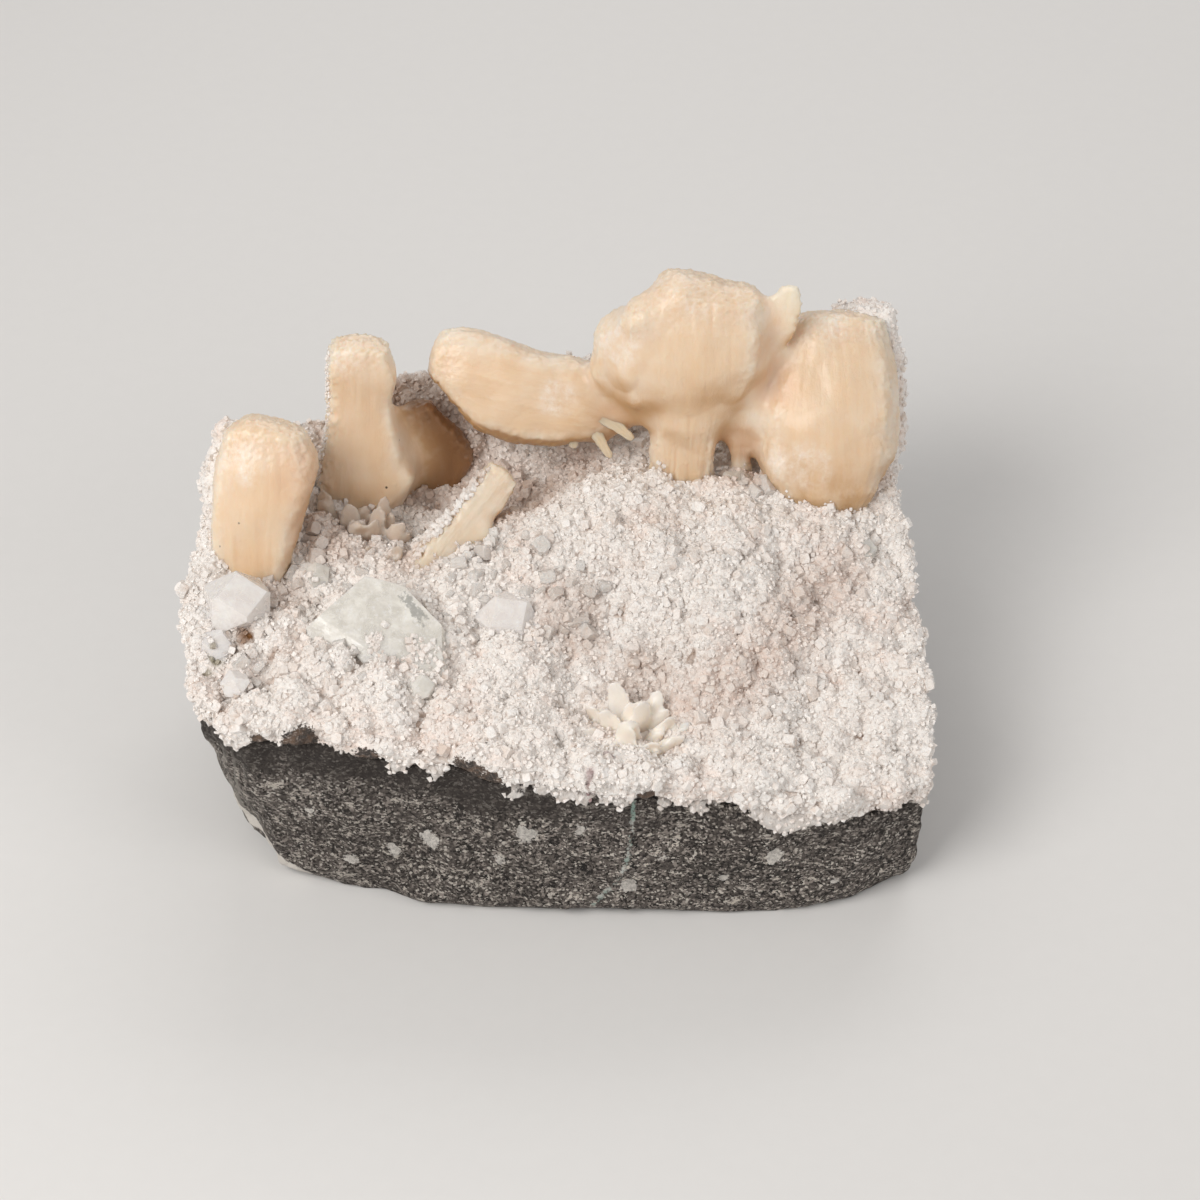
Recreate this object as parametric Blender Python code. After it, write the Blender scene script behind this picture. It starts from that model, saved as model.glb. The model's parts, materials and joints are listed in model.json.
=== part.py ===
"""A mineral specimen: peach stilbite sheaves and pale apophyllite crystals on a drusy crust,
which lines the top of a broken block of basalt.

Metres, +Z up. +X runs along the long side, and -Y is the broken front. The origin is below
the middle of the specimen, on its flat base. Sizes below are in millimetres.
"""

import bisect
import math

import bmesh
import bpy
import numpy as np
from mathutils import Euler, Vector, noise

MM = 0.001
PART_NAME = "apophyllite_cluster"

# Clearance between pieces that touch.
GAP = 0.3

# The block of basalt, seen from above: each corner of the top rim, and the same corner at
# the base. The list runs from the left side along the front to the right and back again.
BLOCK_CORNERS = (
    ((-54.0, -16.5), (-47.0, -15.0)),
    ((-52.7, -27.4), (-45.6, -27.0)),
    ((-45.0, -34.1), (-40.5, -34.0)),
    ((-32.3, -34.6), (-32.0, -38.0)),
    ((-19.5, -36.7), (-21.0, -40.9)),
    ((-8.1, -39.1), (-10.0, -42.0)),
    ((8.8, -41.1), (8.0, -42.0)),
    ((25.8, -40.1), (26.5, -43.6)),
    ((41.6, -40.3), (44.0, -40.0)),
    ((53.8, -35.3), (51.5, -35.0)),
    ((53.6, -20.0), (52.0, -19.0)),
    ((53.1, -6.7), (51.8, -6.0)),
    ((51.6, 7.0), (50.5, 6.0)),
    ((49.6, 13.5), (49.3, 14.0)),
    ((50.4, 28.0), (49.8, 27.0)),
    ((51.5, 41.4), (49.0, 38.5)),
    ((36.0, 42.3), (35.0, 39.5)),
    ((18.0, 39.5), (17.0, 37.0)),
    ((0.0, 35.5), (1.0, 33.0)),
    ((-19.6, 30.5), (-18.0, 28.0)),
    ((-39.0, 20.5), (-36.0, 19.0)),
    ((-51.5, 14.7), (-46.5, 12.0)),
    ((-52.5, -2.0), (-47.5, -2.0)),
)
STEPS_PER_CORNER = 2
BLOCK_LEVELS = (0.0, 2.5, 9.0, 16.0, 23.0, 32.0)
BLOCK_TOP = 62.0
RIM_LEVEL = 26.0
BASE_CHAMFER = 1.6
BREAK_DEPTH = 1.5
BREAK_SIZE = 9.0

# The floor of the crystal pocket: (x, y, height) of the druse, where its form turns.
FRONT_EDGE = (
    (-52.7, -27.4, 31.5),
    (-45.0, -33.5, 30.8),
    (-32.3, -34.0, 30.0),
    (-19.5, -36.2, 29.0),
    (-8.1, -38.5, 27.8),
    (8.8, -40.5, 26.8),
    (25.8, -39.5, 24.3),
    (41.6, -39.5, 21.2),
    (53.8, -34.8, 20.2),
)
RIGHT_EDGE = (
    (53.2, -20.0, 24.5),
    (53.0, -7.0, 27.0),
    (51.8, 5.5, 31.0),
    (49.5, 13.5, 35.0),
    (50.5, 27.0, 42.0),
    (51.5, 41.0, 49.0),
)
BACK_EDGE = (
    (36.0, 41.0, 44.5),
    (18.0, 38.5, 43.0),
    (0.0, 34.5, 41.5),
    (-19.6, 29.6, 44.5),
    (-30.0, 25.0, 43.0),
    (-39.0, 19.3, 41.5),
    (-51.0, 14.0, 40.0),
)
LEFT_EDGE = (
    (-52.5, -2.0, 37.5),
    (-52.5, -9.0, 35.5),
    (-53.5, -16.5, 33.5),
)
MOUND = (
    (0.0, 8.1, 36.0),
    (11.0, 11.0, 38.5),
    (21.1, 6.9, 37.0),
    (30.2, 9.3, 37.0),
    (38.9, 3.5, 34.5),
    (13.4, -4.5, 36.0),
    (20.6, -14.4, 33.0),
    (29.3, -14.5, 31.5),
    (0.2, -13.0, 33.0),
)
VALLEYS = (
    (-30.0, 12.0, 33.5),
    (-20.0, 19.0, 32.5),
    (-6.4, 19.0, 32.0),
    (4.4, 21.5, 33.0),
    (20.0, 18.0, 33.5),
    (28.0, 20.0, 34.0),
    (-14.0, 25.5, 39.5),
    (-4.0, 27.0, 39.5),
    (18.0, 30.0, 38.5),
    (40.4, -5.0, 29.5),
    (29.3, -20.5, 28.0),
    (20.5, -23.5, 27.0),
    (11.9, -20.5, 25.0),
)
FRONT_SLOPE = (
    (-46.1, -18.6, 33.0),
    (-28.6, -20.8, 31.8),
    (-30.0, -1.0, 33.0),
    (-44.3, -5.6, 34.0),
    (-15.4, -27.0, 30.3),
    (-11.5, -14.4, 32.5),
    (-5.5, -24.9, 29.0),
    (-13.0, 2.0, 33.0),
    (10.0, -30.0, 23.6),
    (20.3, -32.1, 24.0),
    (37.9, -28.1, 22.8),
    (49.6, -27.1, 22.0),
    (50.4, -12.2, 26.5),
)
POCKET_FORM = FRONT_EDGE + RIGHT_EDGE + BACK_EDGE + LEFT_EDGE + MOUND + VALLEYS + FRONT_SLOPE

CRUST_THICKNESS = 3.2
TOOTH_HEIGHT = 1.8
TOOTH_LENGTH = 6.0
LUMPS = ((12.0, 2.4), (6.5, 2.4))
GRAIN_SIZE = 2.2
GRAIN_HEIGHT = 1.5
TOP_SPACING = 3.25
CONTACT_SPACING = 5.0
SHEET_REACH = (60.0, 48.0)
SHEET_JITTER = 0.3
UNDERSIDE = -20.0

# Counts of faces along, across and through a sheaf of blades.
BIG_SHEAF_STEPS = (6, 8, 3)
FAN_STEPS = (5, 6, 2)
BLADE_STEPS = (3, 4, 1)
SMALL_BLADE_STEPS = (2, 2, 1)


def clear_scene():
    for old in list(bpy.data.objects):
        bpy.data.objects.remove(old, do_unlink=True)


def new_collection(name, hidden=False):
    made = bpy.data.collections.new(name)
    made.hide_render = hidden
    bpy.context.scene.collection.children.link(made)
    return made


def new_material(name, colour, roughness, transmission=0.0):
    material = bpy.data.materials.new(name)
    material.use_nodes = True
    material.diffuse_color = (*colour, 1.0)
    shader = material.node_tree.nodes["Principled BSDF"]
    shader.inputs["Base Color"].default_value = (*colour, 1.0)
    shader.inputs["Roughness"].default_value = roughness
    shader.inputs["Metallic"].default_value = 0.0
    shader.inputs["Transmission Weight"].default_value = transmission
    return material


def new_object(name, bm, collection, material=None):
    """Turns a bmesh drawn in millimetres into an object in metres."""
    bmesh.ops.scale(bm, vec=(MM, MM, MM), verts=bm.verts)
    bmesh.ops.recalc_face_normals(bm, faces=bm.faces)
    mesh = bpy.data.meshes.new(name)
    bm.to_mesh(mesh)
    bm.free()
    if material:
        mesh.materials.append(material)
    made = bpy.data.objects.new(name, mesh)
    collection.objects.link(made)
    return made


def as_cutter(piece):
    piece.hide_render = True
    piece.display_type = "WIRE"
    return piece


def boolean(piece, tool, operation):
    modifier = piece.modifiers.new(operation.title(), "BOOLEAN")
    modifier.operation = operation
    modifier.solver = "EXACT"
    modifier.object = tool


def keep_largest_body(bm):
    """Drops the chips that a cut leaves beside the main body."""
    bodies = []
    unseen = set(bm.faces)
    while unseen:
        body = set()
        front = [unseen.pop()]
        while front:
            face = front.pop()
            body.add(face)
            for edge in face.edges:
                for other in edge.link_faces:
                    if other in unseen:
                        unseen.remove(other)
                        front.append(other)
        bodies.append(body)
    largest = max(bodies, key=lambda body: sum(face.calc_area() for face in body))
    spare = [face for body in bodies if body is not largest for face in body]
    bmesh.ops.delete(bm, geom=spare, context="FACES")


def settle(piece):
    """Applies the piece's modifiers and leaves one closed body."""
    bpy.context.view_layer.update()
    graph = bpy.context.evaluated_depsgraph_get()
    mesh = bpy.data.meshes.new_from_object(piece.evaluated_get(graph))
    bm = bmesh.new()
    bm.from_mesh(mesh)
    bmesh.ops.triangulate(bm, faces=bm.faces)
    keep_largest_body(bm)
    bm.to_mesh(mesh)
    bm.free()
    piece.modifiers.clear()
    worn = piece.data
    piece.data = mesh
    bpy.data.meshes.remove(worn)


def join(name, pieces):
    """Unites overlapping pieces into the first of them, which takes the name."""
    first, *others = pieces
    for other in others:
        boolean(first, other, "UNION")
    settle(first)
    for other in others:
        bpy.data.objects.remove(other, do_unlink=True)
    first.name = name
    return first


def scatter(index, seed):
    """A number from 0 to 1 that depends only on the index and the seed."""
    return math.modf(abs(math.sin(index * 12.9898 + seed * 78.233) * 43758.5453))[0]


def thin_plate(spots):
    """A smooth surface z(x, y), from numpy arrays, that passes through every spot."""
    spots = np.array(spots)
    places = spots[:, :2]
    count = len(places)

    def kernel(x_gap, y_gap):
        squared = x_gap**2 + y_gap**2
        return squared * np.log(squared + 1e-9)

    system = np.zeros((count + 3, count + 3))
    system[:count, :count] = kernel(
        places[:, None, 0] - places[None, :, 0], places[:, None, 1] - places[None, :, 1]
    )
    system[:count, count:] = np.column_stack([np.ones(count), places])
    system[count:, :count] = system[:count, count:].T
    weights = np.linalg.solve(system, np.append(spots[:, 2], np.zeros(3)))

    def height(x, y):
        bent = kernel(x[:, None] - places[:, 0], y[:, None] - places[:, 1]) @ weights[:count]
        return bent + weights[count] + weights[count + 1] * x + weights[count + 2] * y

    return height


pocket_floor = thin_plate(POCKET_FORM)


def lump(x, y, size, rise):
    """Rounded knobs side by side: full height in the middle of each, low where they meet."""
    distances, _ = noise.voronoi(Vector((x / size, y / size, 0.0)))
    return rise * (0.5 - min(distances[0], 1.0) ** 2)


def crust_top(x, y):
    heights = pocket_floor(x, y)
    for size, rise in LUMPS:
        heights = heights + np.array([lump(a, b, size, rise) for a, b in zip(x, y)])
    grains = [noise.noise(Vector((a, b, GRAIN_SIZE)) / GRAIN_SIZE) for a, b in zip(x, y)]
    return heights + GRAIN_HEIGHT * np.array(grains)


def crust_top_with_gap(x, y):
    return crust_top(x, y) + GAP


def basalt_top(x, y):
    """Where the crust sits on the basalt. Its edge is toothed where the block is broken."""
    teeth = [
        TOOTH_HEIGHT * noise.noise(Vector((a / TOOTH_LENGTH, b / TOOTH_LENGTH, 4.0)))
        for a, b in zip(x, y)
    ]
    return pocket_floor(x, y) - CRUST_THICKNESS + np.array(teeth)


def crust_bottom(x, y):
    return basalt_top(x, y) + GAP


def sheet_solid(name, height_at, spacing, far_level, collection):
    """A closed solid from the surface height_at(x, y) to a level plane."""
    bm = bmesh.new()
    counts = [round(2 * reach / spacing) for reach in SHEET_REACH]
    bmesh.ops.create_grid(bm, x_segments=counts[0], y_segments=counts[1], size=1.0)
    bmesh.ops.triangulate(bm, faces=bm.faces)
    verts = list(bm.verts)
    for index, vert in enumerate(verts):
        inner = 0.0 if vert.is_boundary else SHEET_JITTER * spacing
        vert.co.x = vert.co.x * SHEET_REACH[0] + inner * (2 * scatter(index, 1) - 1)
        vert.co.y = vert.co.y * SHEET_REACH[1] + inner * (2 * scatter(index, 2) - 1)
    x = np.array([vert.co.x for vert in verts])
    y = np.array([vert.co.y for vert in verts])
    for vert, height in zip(verts, height_at(x, y)):
        vert.co.z = height
    extruded = bmesh.ops.extrude_face_region(bm, geom=bm.faces[:])["geom"]
    for vert in (item for item in extruded if isinstance(item, bmesh.types.BMVert)):
        vert.co.z = far_level
    return as_cutter(new_object(name, bm, collection))


def block_ring(level):
    """The outline of the block at one level, with broken facets."""
    share = min(level / RIM_LEVEL, 1.0)
    corners = [Vector(foot).lerp(Vector(rim), share) for rim, foot in BLOCK_CORNERS]
    ring = []
    for corner, following in zip(corners, corners[1:] + corners[:1]):
        for step in range(STEPS_PER_CORNER):
            flat = corner.lerp(following, step / STEPS_PER_CORNER)
            outward = flat.normalized()
            place = Vector((flat.x, flat.y, level))
            chip = BREAK_DEPTH * noise.noise(place / BREAK_SIZE)
            chip -= BASE_CHAMFER if level == BLOCK_LEVELS[0] else 0.0
            ring.append(place + chip * Vector((outward.x, outward.y, 0.0)))
    return ring


def rock_block(name, collection, material=None):
    """The whole block up to above the pocket, lofted through its outlines."""
    bm = bmesh.new()
    rings = [[bm.verts.new(place) for place in block_ring(level)] for level in BLOCK_LEVELS]
    rings.append([bm.verts.new((v.co.x, v.co.y, BLOCK_TOP)) for v in rings[-1]])
    count = len(rings[0])
    for lower, upper in zip(rings, rings[1:]):
        for index in range(count):
            after = (index + 1) % count
            bm.faces.new((lower[index], lower[after], upper[after], upper[index]))
    bm.faces.new(rings[0])
    bm.faces.new(rings[-1])
    return new_object(name, bm, collection, material)


def unit_box(steps):
    """A box from -1 to 1, cut into steps along each axis."""
    bm = bmesh.new()
    bmesh.ops.create_cube(bm, size=2.0)
    for axis, count in enumerate(steps):
        normal = Vector([1.0 if axis == other else 0.0 for other in range(3)])
        for index in range(1, count):
            at = normal * (2.0 * index / count - 1.0)
            geometry = bm.verts[:] + bm.edges[:] + bm.faces[:]
            bmesh.ops.bisect_plane(bm, geom=geometry, plane_co=at, plane_no=normal, dist=1e-5)
    return bm


def through_stations(stations, place):
    """Smooth values at a place between the stations, whose first number is their place."""
    places = [station[0] for station in stations]
    index = min(max(bisect.bisect_right(places, place) - 1, 0), len(places) - 2)
    share = (place - places[index]) / (places[index + 1] - places[index])
    share = min(max(share, 0.0), 1.0)
    before, start, end, after = (
        stations[min(max(index + offset, 0), len(stations) - 1)] for offset in (-1, 0, 1, 2)
    )
    return [
        0.5 * (
            2 * p1 + (p2 - p0) * share
            + (2 * p0 - 5 * p1 + 4 * p2 - p3) * share**2
            + (3 * p1 - p0 - 3 * p2 + p3) * share**3
        )
        for p0, p1, p2, p3 in zip(before[1:], start[1:], end[1:], after[1:])
    ]


def sheaf(name, root, up, face, stations, steps=FAN_STEPS, rounding=0.35, domes=(1.5, 1.0),
          peak=0.0, serration=0.6, seed=1):
    """Tabular blades grown side by side into a sheaf, pinched at its waist.

    up is the blades' direction and face is the way their flat side looks. A station is a
    height above the root, the reach to the left and to the right, and the thickness in
    front and behind. domes is how far the upper and the lower end bulge, and peak moves
    the top of the upper end from the left edge, -1, to the right edge, 1.
    """
    up = Vector(up).normalized()
    face = Vector(face)
    face = (face - up * face.dot(up)).normalized()
    side = up.cross(face)
    low, high = stations[0][0], stations[-1][0]
    bm = unit_box(steps)
    for vert in bm.verts:
        along, across, through = vert.co
        height = low + (high - low) * (along + 1) / 2
        left, right, front, back = through_stations(stations, height)
        b = across * math.sqrt(1 - rounding * through**2)
        c = through * math.sqrt(1 - rounding * across**2)
        blade = round((across + 1) * steps[1] / 4)
        from_peak = (b - peak) / (1 - peak if b > peak else 1 + peak) if along > 0 else b
        bulge = 1 - 0.65 * from_peak**2 - 0.35 * c * c
        tip = serration * (scatter(blade, seed) - 0.5)
        height += math.copysign(abs(along)**4, along) * (domes[along < 0] * bulge + tip)
        rib = 0.3 * (scatter(blade, seed + 5) - 0.5) * min(1.0, abs(through) * 2)
        outward = c * (front if c > 0 else back) + math.copysign(rib, through)
        vert.co = (
            Vector(root) + up * height + side * (b * (right if b > 0 else left)) + face * outward
        )
    return new_object(name, bm, parts, stilbite_material)


def faceted_crystal(name, centre, facets, reach):
    """A crystal bounded by flat facets, each given by its normal and its distance."""
    bm = bmesh.new()
    bmesh.ops.create_cube(bm, size=2 * reach)
    for normal, distance in facets:
        outward = Vector(normal).normalized()
        geometry = bm.verts[:] + bm.edges[:] + bm.faces[:]
        cut = bmesh.ops.bisect_plane(
            bm, geom=geometry, plane_co=outward * distance, plane_no=outward,
            dist=1e-5, clear_outer=True,
        )
        rim = [item for item in cut["geom_cut"] if isinstance(item, bmesh.types.BMEdge)]
        bmesh.ops.edgeloop_fill(bm, edges=rim)
    bmesh.ops.translate(bm, vec=centre, verts=bm.verts)
    return new_object(name, bm, parts, apophyllite_material)


def apophyllite(name, centre, size, tilt, corner=0.62):
    """A near-cubic prism whose corners are cut by the pyramid faces."""
    turn = Euler([math.radians(angle) for angle in tilt]).to_matrix()
    half_width, half_depth, half_height = (side / 2 for side in size)
    facets = []
    for axis, half in enumerate((half_width, half_depth, half_height)):
        for sign in (-1, 1):
            normal = Vector([sign if axis == other else 0 for other in range(3)])
            facets.append((turn @ normal, half))
    diagonal = Vector((half_width, half_depth, half_height)).length
    for x_sign in (-1, 1):
        for y_sign in (-1, 1):
            for z_sign in (-1, 1):
                normal = Vector((x_sign / half_width, y_sign / half_depth, z_sign / half_height))
                reach_out = corner * 3 / normal.length
                facets.append((turn @ normal, reach_out))
    return faceted_crystal(name, centre, facets, reach=2 * diagonal)


clear_scene()
parts = new_collection(PART_NAME)
cutters = new_collection("cutters", hidden=True)
basalt_material = new_material("basalt", (0.09, 0.08, 0.075), 0.85)
druse_material = new_material("druse", (0.70, 0.63, 0.58), 0.55)
stilbite_material = new_material("stilbite", (0.80, 0.58, 0.38), 0.45)
apophyllite_material = new_material("apophyllite", (0.78, 0.80, 0.74), 0.15, transmission=0.4)


def build_rock():
    """The basalt below the contact surface, and the crust between it and the pocket."""
    over_contact = sheet_solid("over_contact", basalt_top, CONTACT_SPACING, BLOCK_TOP + 5, cutters)
    under_contact = sheet_solid(
        "under_contact", crust_bottom, CONTACT_SPACING, UNDERSIDE, cutters
    )
    over_top = sheet_solid("over_top", crust_top, TOP_SPACING, BLOCK_TOP + 5, cutters)
    basalt = rock_block("basalt_matrix", parts, basalt_material)
    boolean(basalt, over_contact, "DIFFERENCE")
    settle(basalt)
    crust = rock_block("druse_crust", parts, druse_material)
    boolean(crust, over_top, "DIFFERENCE")
    boolean(crust, under_contact, "DIFFERENCE")
    settle(crust)


def rooted(piece, ground):
    """Ends a crystal where it meets the crust."""
    boolean(piece, ground, "DIFFERENCE")
    settle(piece)
    return piece


def build_left_sheaf():
    return sheaf(
        "stilbite_sheaf_left", root=(-44.6, -5.0, 33.5), up=(0.03, 0.4, 0.92),
        face=(-0.1, -0.92, 0.4), steps=BIG_SHEAF_STEPS, rounding=0.42, domes=(3.4, 1.0),
        peak=-0.15, serration=0.7, seed=11, stations=(
            (-6.0, 6.6, 4.0, 3.5, 7.0),
            (0.0, 6.9, 4.2, 3.8, 7.5),
            (6.0, 6.8, 5.6, 4.2, 8.0),
            (12.0, 6.6, 7.6, 4.4, 8.0),
            (17.0, 6.2, 8.6, 4.0, 7.5),
            (20.8, 4.9, 7.0, 3.0, 6.0),
        ),
    )


def build_tall_sheaf():
    front = sheaf(
        "tall_front", root=(-30.0, 14.0, 46.0), up=(0.02, 0.15, 0.98), face=(0.05, -1.0, 0.2),
        steps=BIG_SHEAF_STEPS, rounding=0.28, domes=(1.4, 0.8), serration=0.7, seed=12,
        stations=(
            (-12.5, 6.0, 6.0, 3.2, 3.2),
            (-8.0, 6.6, 8.4, 3.4, 3.4),
            (-4.3, 5.9, 6.7, 2.9, 3.0),
            (1.0, 4.8, 5.4, 2.4, 2.8),
            (5.5, 4.7, 5.2, 2.4, 2.8),
            (9.7, 4.7, 5.7, 2.8, 3.2),
            (13.6, 4.1, 4.6, 2.6, 3.0),
        ),
    )
    rear = sheaf(
        "tall_rear", root=(-27.0, 17.0, 45.0), up=(0.0, 0.1, 1.0), face=(0.3, -1.0, 0.1),
        seed=13, stations=(
            (-13.5, 1.0, 5.0, 2.0, 2.0),
            (-8.5, 1.5, 9.0, 2.2, 2.2),
            (-3.4, 2.5, 6.2, 2.0, 2.0),
            (1.0, 2.5, 3.0, 1.8, 1.8),
            (3.5, 2.0, 2.0, 1.5, 1.5),
        ),
    )
    far = sheaf(
        "tall_far", root=(-22.0, 19.5, 44.0), up=(-0.15, 0.1, 1.0), face=(0.25, -1.0, 0.0),
        seed=14, stations=(
            (-14.0, 4.0, 4.0, 2.2, 2.2),
            (-9.0, 5.5, 7.5, 2.4, 2.4),
            (-4.0, 5.0, 6.0, 2.2, 2.2),
            (1.0, 3.0, 3.0, 1.8, 1.8),
        ),
    )
    stub = sheaf(
        "tall_stub", root=(-27.0, 13.0, 33.0), up=(0.1, 0.2, 1.0), face=(0.0, -1.0, 0.2),
        steps=BLADE_STEPS, seed=15, stations=((-6.0, 2.6, 2.6, 2.0, 2.0), (7.0, 3.6, 4.2, 2.4, 2.4)),
    )
    return join("stilbite_sheaf_tall", [front, rear, far, stub])


def build_right_cluster():
    bar = sheaf(
        "bar", root=(6.0, 20.5, 46.0), up=(-1.0, 0.05, 0.2), face=(0.1, -0.9, 0.45),
        steps=BIG_SHEAF_STEPS, rounding=0.38, domes=(1.8, 0.0), peak=0.3, seed=21, stations=(
            (-6.0, 3.0, 3.5, 3.5, 3.5),
            (0.0, 5.8, 5.2, 4.2, 4.0),
            (5.0, 7.6, 6.1, 4.8, 4.4),
            (11.0, 8.5, 6.1, 5.2, 4.8),
            (18.0, 7.2, 7.1, 5.0, 5.0),
            (22.0, 4.2, 7.3, 4.4, 4.6),
            (24.6, 1.4, 6.0, 3.4, 3.8),
        ),
    )
    leg = sheaf(
        "leg", root=(5.5, 18.5, 42.0), up=(-0.5, 0.3, 0.8), face=(0.4, -0.9, 0.2),
        steps=BLADE_STEPS, seed=22, stations=((-3.5, 1.4, 1.6, 0.9, 0.9), (3.0, 2.2, 2.2, 1.4, 1.4)),
    )
    stem = sheaf(
        "stem", root=(19.0, 15.8, 45.0), up=(0.0, 0.1, 1.0), face=(0.0, -1.0, 0.15), domes=(0, 0),
        seed=23, stations=(
            (-14.0, 5.0, 4.2, 4.0, 5.0),
            (-6.0, 5.6, 4.4, 4.0, 5.0),
            (5.0, 5.0, 4.6, 4.0, 5.0),
        ),
    )
    crown = sheaf(
        "crown", root=(19.0, 16.5, 44.4), up=(0.0, 0.16, 0.98), face=(0.0, -1.0, 0.15),
        steps=BIG_SHEAF_STEPS, rounding=0.4, domes=(4.4, 0.0), peak=-0.3, serration=0.8,
        seed=24, stations=(
            (-1.5, 2.0, 8.0, 4.0, 5.5),
            (2.5, 5.2, 9.6, 5.2, 6.5),
            (8.0, 7.6, 10.8, 6.6, 7.5),
            (13.0, 8.4, 11.8, 7.0, 8.0),
            (17.5, 7.6, 11.6, 5.8, 7.2),
            (20.4, 5.6, 10.0, 4.0, 5.6),
        ),
    )
    left_lobe = sheaf(
        "left_lobe", root=(11.5, 18.5, 46.0), up=(-0.05, 0.1, 1.0), face=(-0.3, -1.0, 0.2),
        rounding=0.45, domes=(2.6, 1.4), seed=25, stations=(
            (-0.5, 3.2, 2.5, 2.6, 4.0),
            (4.0, 6.0, 4.0, 4.0, 5.0),
            (9.0, 6.5, 4.0, 4.6, 5.5),
            (13.4, 5.0, 4.5, 4.0, 5.0),
            (16.2, 2.6, 5.5, 2.8, 4.0),
        ),
    )
    right_lobe = sheaf(
        "right_lobe", root=(27.0, 17.5, 45.0), up=(0.05, 0.15, 1.0), face=(0.35, -1.0, 0.1),
        rounding=0.4, domes=(1.5, 1.0), seed=26, stations=(
            (-4.0, 1.5, 1.5, 1.6, 2.0),
            (1.0, 3.2, 2.4, 3.0, 4.0),
            (9.0, 4.2, 3.4, 4.2, 5.0),
            (18.0, 4.6, 3.2, 3.6, 4.6),
        ),
    )
    second_stem = sheaf(
        "second_stem", root=(27.3, 16.5, 38.0), up=(0.05, 0.15, 1.0), face=(0.0, -1.0, 0.1),
        steps=BLADE_STEPS, seed=27, stations=((-7.0, 1.3, 1.5, 1.4, 1.4), (7.0, 1.6, 1.9, 1.6, 1.6)),
    )
    blade = sheaf(
        "blade", root=(31.0, 19.0, 52.0), up=(0.14, 0.08, 1.0), face=(-0.3, -1.0, 0.15),
        steps=BLADE_STEPS, rounding=0.25, domes=(2.6, 0.0), serration=0.2, seed=28, stations=(
            (-7.0, 1.6, 1.4, 1.0, 1.2),
            (6.0, 2.2, 2.2, 1.1, 1.2),
            (13.6, 2.2, 3.0, 0.9, 0.9),
        ),
    )
    ball = sheaf(
        "ball", root=(40.5, 16.5, 45.0), up=(-0.05, 0.51, 0.86), face=(0.0, -0.86, 0.51),
        steps=BIG_SHEAF_STEPS, rounding=0.42, domes=(2.2, 2.2), serration=0.5, seed=29,
        stations=(
            (-13.0, 5.6, 4.8, 3.2, 6.0),
            (-9.6, 9.0, 7.2, 6.0, 9.0),
            (-4.5, 10.9, 10.0, 7.6, 11.0),
            (2.0, 11.0, 10.8, 7.6, 12.0),
            (9.0, 8.6, 10.4, 5.6, 11.5),
            (14.6, 5.4, 9.2, 3.2, 9.0),
        ),
    )
    return join(
        "stilbite_right_cluster",
        [crown, stem, bar, leg, left_lobe, right_lobe, second_stem, blade, ball],
    )


def build_small_sheaf():
    main = sheaf(
        "small_main", root=(-14.3, 2.6, 36.6), up=(0.64, 0.58, 0.5), face=(0.3, -0.9, 0.4),
        rounding=0.25, seed=31, stations=(
            (-11.5, 2.0, 3.4, 2.2, 2.4),
            (-7.0, 2.6, 4.2, 2.1, 2.3),
            (-2.0, 2.4, 3.6, 2.0, 2.0),
            (3.5, 2.6, 3.4, 1.9, 1.9),
            (8.6, 2.9, 2.4, 1.7, 1.7),
        ),
    )
    beside = sheaf(
        "small_beside", root=(-13.0, 0.0, 34.0), up=(0.6, 0.4, 0.6), face=(0.4, -0.8, 0.4),
        steps=BLADE_STEPS, seed=32, stations=((-5.0, 1.4, 1.4, 1.2, 1.2), (3.5, 1.8, 1.8, 1.2, 1.2)),
    )
    return join("stilbite_small_sheaf", [main, beside])


def blade_group(name, blades, root_level, foot, seed):
    """Short blades side by side: (x, y) of each root, lean right and back, width, height.

    foot is the crowded mass they grow from: its middle (x, y), reach across and back, rise.
    """
    x, y, across, back, rise = foot
    made = [sheaf(
        f"{name}_foot", root=(x, y, root_level), up=(0.0, 0.0, 1.0), face=(0.0, -1.0, 0.0),
        steps=BLADE_STEPS, rounding=0.5, domes=(1.0, 0.0), seed=seed, stations=(
            (-4.0, across, across, back, back), (rise, 0.7 * across, 0.7 * across, back, back),
        ),
    )]
    for index, (x, y, right, back, width, height) in enumerate(blades):
        half = width / 2
        made.append(sheaf(
            f"{name}_{index}", root=(x, y, root_level), up=(right, back, 1.0),
            face=(0.5 * right, -1.0, 0.3), steps=SMALL_BLADE_STEPS, rounding=0.3,
            domes=(0.22 * height, 0.0), serration=0.0, seed=seed + index, stations=(
                (-2.0, 0.7 * half, 0.7 * half, 1.1, 1.1),
                (0.78 * height, half, half, 0.9, 0.9),
            ),
        ))
    return join(name, made)


ROSETTE_ROOT = 24.2
ROSETTE_FOOT = (9.8, -29.8, 7.5, 4.2, 1.8)
ROSETTE_BLADES = (
    (10.0, -31.2, 0.0, -0.15, 6.0, 7.4),
    (9.0, -26.5, -0.2, 0.3, 5.0, 7.2),
    (13.0, -27.0, 0.35, 0.2, 4.6, 6.6),
    (6.0, -28.0, -0.6, 0.1, 4.4, 5.0),
    (13.6, -30.5, 0.7, -0.1, 4.8, 5.6),
    (6.0, -31.5, -0.8, -0.2, 4.2, 4.8),
    (15.0, -32.5, 0.9, -0.3, 4.0, 4.8),
)

THIN_BLADE_ROOT = 33.4
THIN_BLADE_FOOT = (-30.3, 4.0, 6.0, 3.0, 1.0)
THIN_BLADES = (
    (-34.5, 6.0, -0.15, 0.2, 4.4, 6.0),
    (-31.5, 4.5, 0.0, 0.1, 4.8, 5.4),
    (-28.2, 3.5, 0.2, 0.1, 4.2, 5.8),
    (-25.5, 2.5, 0.35, 0.0, 3.8, 4.8),
    (-33.0, 1.0, 0.1, -0.1, 4.0, 4.2),
)

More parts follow.
